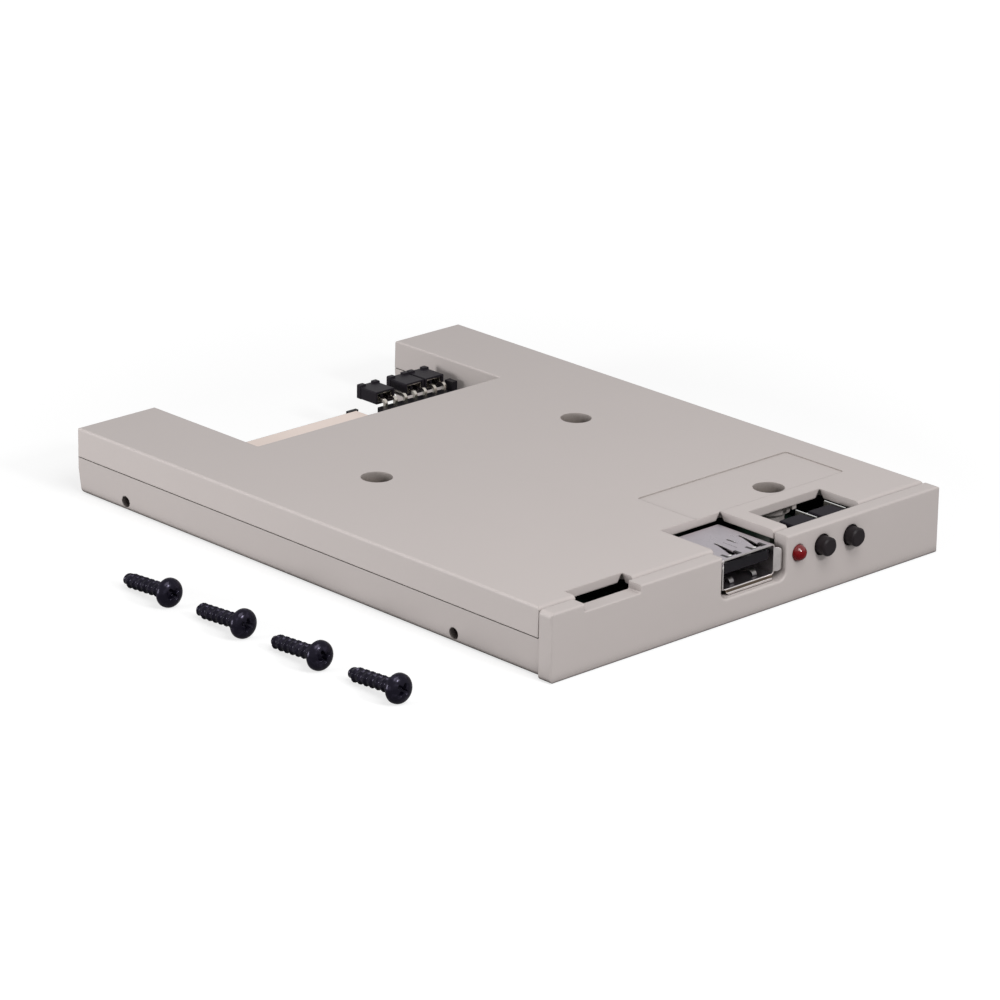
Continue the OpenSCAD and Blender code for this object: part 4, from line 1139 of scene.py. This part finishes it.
@dataclass
class LooseScrews(Assembly):
    """The four mounting screws on the table, with their threads and cross recesses."""

    count: int = 4
    step: float = 19.65 * MM
    head_radius: float = 2.66 * MM
    head_height: float = 1.6 * MM
    rim_height: float = 0.25 * MM
    length: float = 12.5 * MM
    crest_radius: float = 1.42 * MM
    core_radius: float = 1.0 * MM
    thread_pitch: float = 1.62 * MM
    crest_share: float = 0.5
    tip_length: float = 0.9 * MM
    tip_radius: float = 0.95 * MM
    toward_case: float = 4.7
    neck: float = 0.5 * MM
    cross_width: float = 0.75 * MM
    cross_length: float = 2.5 * MM
    cross_depth: float = 1.0 * MM
    cross_flank: float = 0.16 * MM
    cross_slope: float = 0.75 * MM
    rim_share: float = 0.12
    rim_start: float = 0.02
    crowding: float = 0.85
    dome_power: float = 2.4
    core_share: float = 0.9
    fade_start: float = 0.3 * MM
    thread_shift: float = 0.3
    columns: int = 72
    head_rows: int = 44
    under_rows: int = 4
    rows_per_turn: int = 16
    turn: float = 35.0
    curved: float = 50.0

    def build(self) -> None:
        """Adds the four screws in place of the plain ones."""
        tilt = math.atan((self.head_radius - self.crest_radius) / (self.length - self.tip_length))
        aside = Matrix.Rotation(-math.radians(self.toward_case), 4, "Z")
        lay = aside @ Matrix.Rotation(-tilt, 4, "X")
        low, high = self.reach(lay)
        plain = "mounting_screws"
        box_low, box_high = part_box(plain)
        x = box_low.x - low.x
        z = self.head_radius * math.cos(tilt)
        rear = box_high.y - high.y
        for number in range(1, self.count + 1):
            mesh = Form.join((self.head(number), self.shank(number)))
            place = Matrix.Translation(Vector((x, rear - (number - 1) * self.step, z)))
            bmesh.ops.transform(mesh, matrix=place @ lay, verts=mesh.verts)
            name = f"mounting_screw_{number}"
            self.dresser.piece(name, mesh, Finishes.screw, plain, self.curved, plain)

    def reach(self, lay: Matrix) -> tuple[Vector, Vector]:
        """The box of one plain screw as it lies, about the middle of its bearing face.

        Args:
            lay: How it is turned.

        Returns:
            Its lowest and highest corner.
        """
        rings = (
            (self.head_radius, 0.0),
            (self.head_radius, -self.rim_height),
            (self.crest_radius, self.length - self.tip_length),
            (self.tip_radius, self.length),
        )
        turns = Form.turns(self.columns)
        points = [
            lay @ Vector((r * math.cos(a), y, r * math.sin(a))) for r, y in rings for a in turns
        ]
        return tuple(Vector([end(p[k] for p in points) for k in range(3)]) for end in (min, max))

    def arm(self, side: float, end: float) -> float:
        """How deep one arm of the cross recess is at a point of the head.

        Args:
            side: The point's distance from the arm's middle line.
            end: Its distance from the head's middle, along the arm.

        Returns:
            The depth there.
        """
        flank = (self.cross_width / 2 - abs(side)) / self.cross_flank
        slope = (self.cross_length / 2 - abs(end)) / self.cross_slope
        return self.cross_depth * max(0.0, min(flank, 1.0)) * max(0.0, min(slope, 1.0))

    def head_outline(self) -> list[Pair]:
        """The head's outline, from inside its bearing face over its rim to its top.

        Returns:
            Its radius and height at each row.
        """
        inner = self.core_radius / 2
        steps = self.under_rows - 1
        outline = [(inner + (self.head_radius - inner) * k / steps, 0.0) for k in range(steps + 1)]
        rows = self.head_rows - self.under_rows
        for row in range(rows):
            share = row / (rows - 1)
            radius = self.head_radius
            height = self.rim_height * (share + self.rim_start) / (self.rim_share + self.rim_start)
            if share >= self.rim_share:
                sweep = (share - self.rim_share) / (1.0 - self.rim_share)
                radius *= (1.0 - sweep) ** self.crowding
                dome = math.sqrt(max(0.0, 1.0 - (radius / self.head_radius) ** self.dome_power))
                height = self.rim_height + (self.head_height - self.rim_height) * dome
            outline.append((radius, height))
        return outline

    def head(self, number: int) -> Mesh:
        """One domed head with its cross recess.

        Args:
            number: The screw's number, which turns its recess.

        Returns:
            The mesh, its bearing face at y 0 and its dome towards -Y.
        """
        spin = math.radians(self.turn * number)
        rings = []
        for radius, height in self.head_outline():
            ring = []
            for turn in Form.turns(self.columns):
                x, z = radius * math.cos(turn), radius * math.sin(turn)
                u = x * math.cos(spin) + z * math.sin(spin)
                v = z * math.cos(spin) - x * math.sin(spin)
                depth = max(self.arm(u, v), self.arm(v, u)) if height > 0.0 else 0.0
                ring.append(Vector((x, depth - height, z)))
            rings.append(ring)
        return Form.grid(rings)

    def shank(self, number: int) -> Mesh:
        """One threaded shank with a blunt tapered end.

        Args:
            number: The screw's number, which turns its thread.

        Returns:
            The mesh, from inside the head towards +Y.
        """
        rows = int(self.length / self.thread_pitch * self.rows_per_turn)
        tip_core = self.tip_radius * self.core_share
        rings = []
        for row in range(rows):
            y = self.length * row / (rows - 1)
            taper = min(1.0, (self.length - y) / self.tip_length)
            fade = min(1.0, max(0.0, y - self.fade_start) / self.neck)
            crest = self.tip_radius + (self.crest_radius - self.tip_radius) * taper
            core = tip_core + (self.core_radius - tip_core) * taper
            ring = []
            for turn in Form.turns(self.columns):
                turned = y / self.thread_pitch - turn / math.tau
                phase = (turned + number * self.thread_shift) % 1.0
                ridge = max(0.0, 1.0 - abs(phase - 0.5) / (self.crest_share / 2))
                radius = core + (crest - core) * ridge * fade
                ring.append(Vector((radius * math.cos(turn), y, radius * math.sin(turn))))
            rings.append(ring)
        return Form.grid(rings)


@dataclass(frozen=True)
class Lamp:
    """A soft square lamp that points at the drive.

    Attributes:
        name: Its name.
        place: Where it stands.
        size: The length of its side.
        power: Its power in watts.
    """

    name: str
    place: Point
    size: float
    power: float

    def add(self) -> None:
        """Adds it to the scene."""
        data = bpy.data.lights.new(self.name, "AREA")
        data.size = self.size
        data.energy = self.power
        lamp = bpy.data.objects.new(self.name, data)
        lamp.location = self.place
        lamp.rotation_mode = "QUATERNION"
        lamp.rotation_quaternion = (-Vector(self.place)).to_track_quat("-Z", "Y")
        bpy.context.scene.collection.objects.link(lamp)


@dataclass
class Studio:
    """The camera, the floor and the light.

    The camera's place and turn are worked out from the drive's outline in the photograph.
    """

    lens: float = 176.84
    sensor: float = 36.0
    place: Point = (-582.94 * MM, -606.60 * MM, 307.27 * MM)
    azimuth: float = 43.843
    elevation: float = 19.805
    roll: float = 0.922
    clip: Pair = (0.01, 50.0)
    floor_half: float = 6.0
    ambient: float = 0.42
    mirrored: float = 0.62
    glow_near: float = 0.68
    glow_far: float = 0.88
    near: float = 0.09
    far: float = 0.26
    floor_white: float = 0.38
    floor_drop: float = 0.02 * MM
    lamps: tuple[Lamp, ...] = (
        Lamp("top_panel", (-0.08, -0.28, 0.42), 0.24, 0.86),
        Lamp("left_panel", (-0.44, 0.18, 0.08), 0.16, 1.08),
        Lamp("front_panel", (-0.01, -0.43, 0.27), 0.07, 0.68),
    )

    def build(self) -> None:
        """Adds all of it to the scene."""
        self.add_camera()
        self.add_floor()
        self.set_world()
        for lamp in self.lamps:
            lamp.add()

    def add_camera(self) -> None:
        """Adds the camera at the photograph's viewing angle."""
        data = bpy.data.cameras.new("camera")
        data.lens = self.lens
        data.sensor_width = self.sensor
        data.clip_start, data.clip_end = self.clip
        camera = bpy.data.objects.new("camera", data)
        bpy.context.scene.collection.objects.link(camera)
        turn = Matrix.Rotation(-math.radians(self.azimuth), 4, "Z")
        nod = Matrix.Rotation(math.radians(90.0 - self.elevation), 4, "X")
        bank = Matrix.Rotation(math.radians(self.roll), 4, "Z")
        camera.matrix_world = Matrix.Translation(self.place) @ turn @ nod @ bank
        bpy.context.scene.camera = camera

    def add_floor(self) -> None:
        """Adds the pale floor, which keeps the drive's soft shadow."""
        mesh = bmesh.new()
        bmesh.ops.create_grid(mesh, x_segments=1, y_segments=1, size=self.floor_half)
        data = bpy.data.meshes.new("floor")
        mesh.to_mesh(data)
        mesh.free()
        floor = bpy.data.objects.new("floor", data)
        floor.location.z = -self.floor_drop
        bpy.context.scene.collection.objects.link(floor)
        material = bpy.data.materials.new("floor_white")
        material.use_nodes = True
        graph = Graph(material.node_tree)
        white = (*(self.floor_white,) * 3, 1.0)
        paper = graph.node("ShaderNodeBsdfDiffuse", {}, {"Color": white})
        reach = graph.node("ShaderNodeVectorMath", {"operation": "LENGTH"}, {0: graph.here()})
        away = (graph.sock(reach, "Value") - self.near).ramp(rise=1.0 / (self.far - self.near))
        level = graph.mix(away, (self.glow_near,) * 3, (self.glow_far,) * 3)
        glow = graph.node("ShaderNodeEmission", {}, {"Color": level, "Strength": 1.0})
        both = graph.node("ShaderNodeAddShader", {}, {0: paper.outputs[0], 1: glow.outputs[0]})
        sockets = {0: self.seen(graph), 1: paper.outputs[0], 2: both.outputs[0]}
        mixed = graph.node("ShaderNodeMixShader", {}, sockets)
        graph.node("ShaderNodeOutputMaterial", {}, {"Surface": mixed.outputs[0]})
        data.materials.append(material)

    @staticmethod
    def seen(graph: Graph) -> Sock:
        """1 for what the camera sees, straight or through glass."""
        path = graph.node("ShaderNodeLightPath")
        return graph.sock(path, "Is Camera Ray").at_least(graph.sock(path, "Is Transmission Ray"))

    def set_world(self) -> None:
        """Makes the surroundings white to the eye and gives even light."""
        world = bpy.data.worlds.new("surroundings")
        world.use_nodes = True
        graph = Graph(world.node_tree)
        glossy = graph.sock(graph.node("ShaderNodeLightPath"), "Is Glossy Ray")
        mirrored = glossy * (self.mirrored - self.ambient)
        level = (self.seen(graph) * (1.0 - self.ambient)).at_least(mirrored) + self.ambient
        white = (1.0, 1.0, 1.0, 1.0)
        back = graph.node("ShaderNodeBackground", {}, {"Color": white, "Strength": level})
        graph.node("ShaderNodeOutputWorld", {}, {"Surface": back.outputs[0]})
        bpy.context.scene.world = world


def main() -> None:
    """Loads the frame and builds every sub-assembly."""
    logging.basicConfig(level=logging.INFO, format="%(message)s")
    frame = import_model()
    bpy.context.scene.view_settings.view_transform = "Standard"
    dresser = Dresser(frame)
    for kind in (CaseHalves, UsbSocket, FrontControls, RearConnectors, BoardParts, LooseScrews):
        kind(dresser).build()
    Studio().build()


if __name__ == "__main__":
    main()
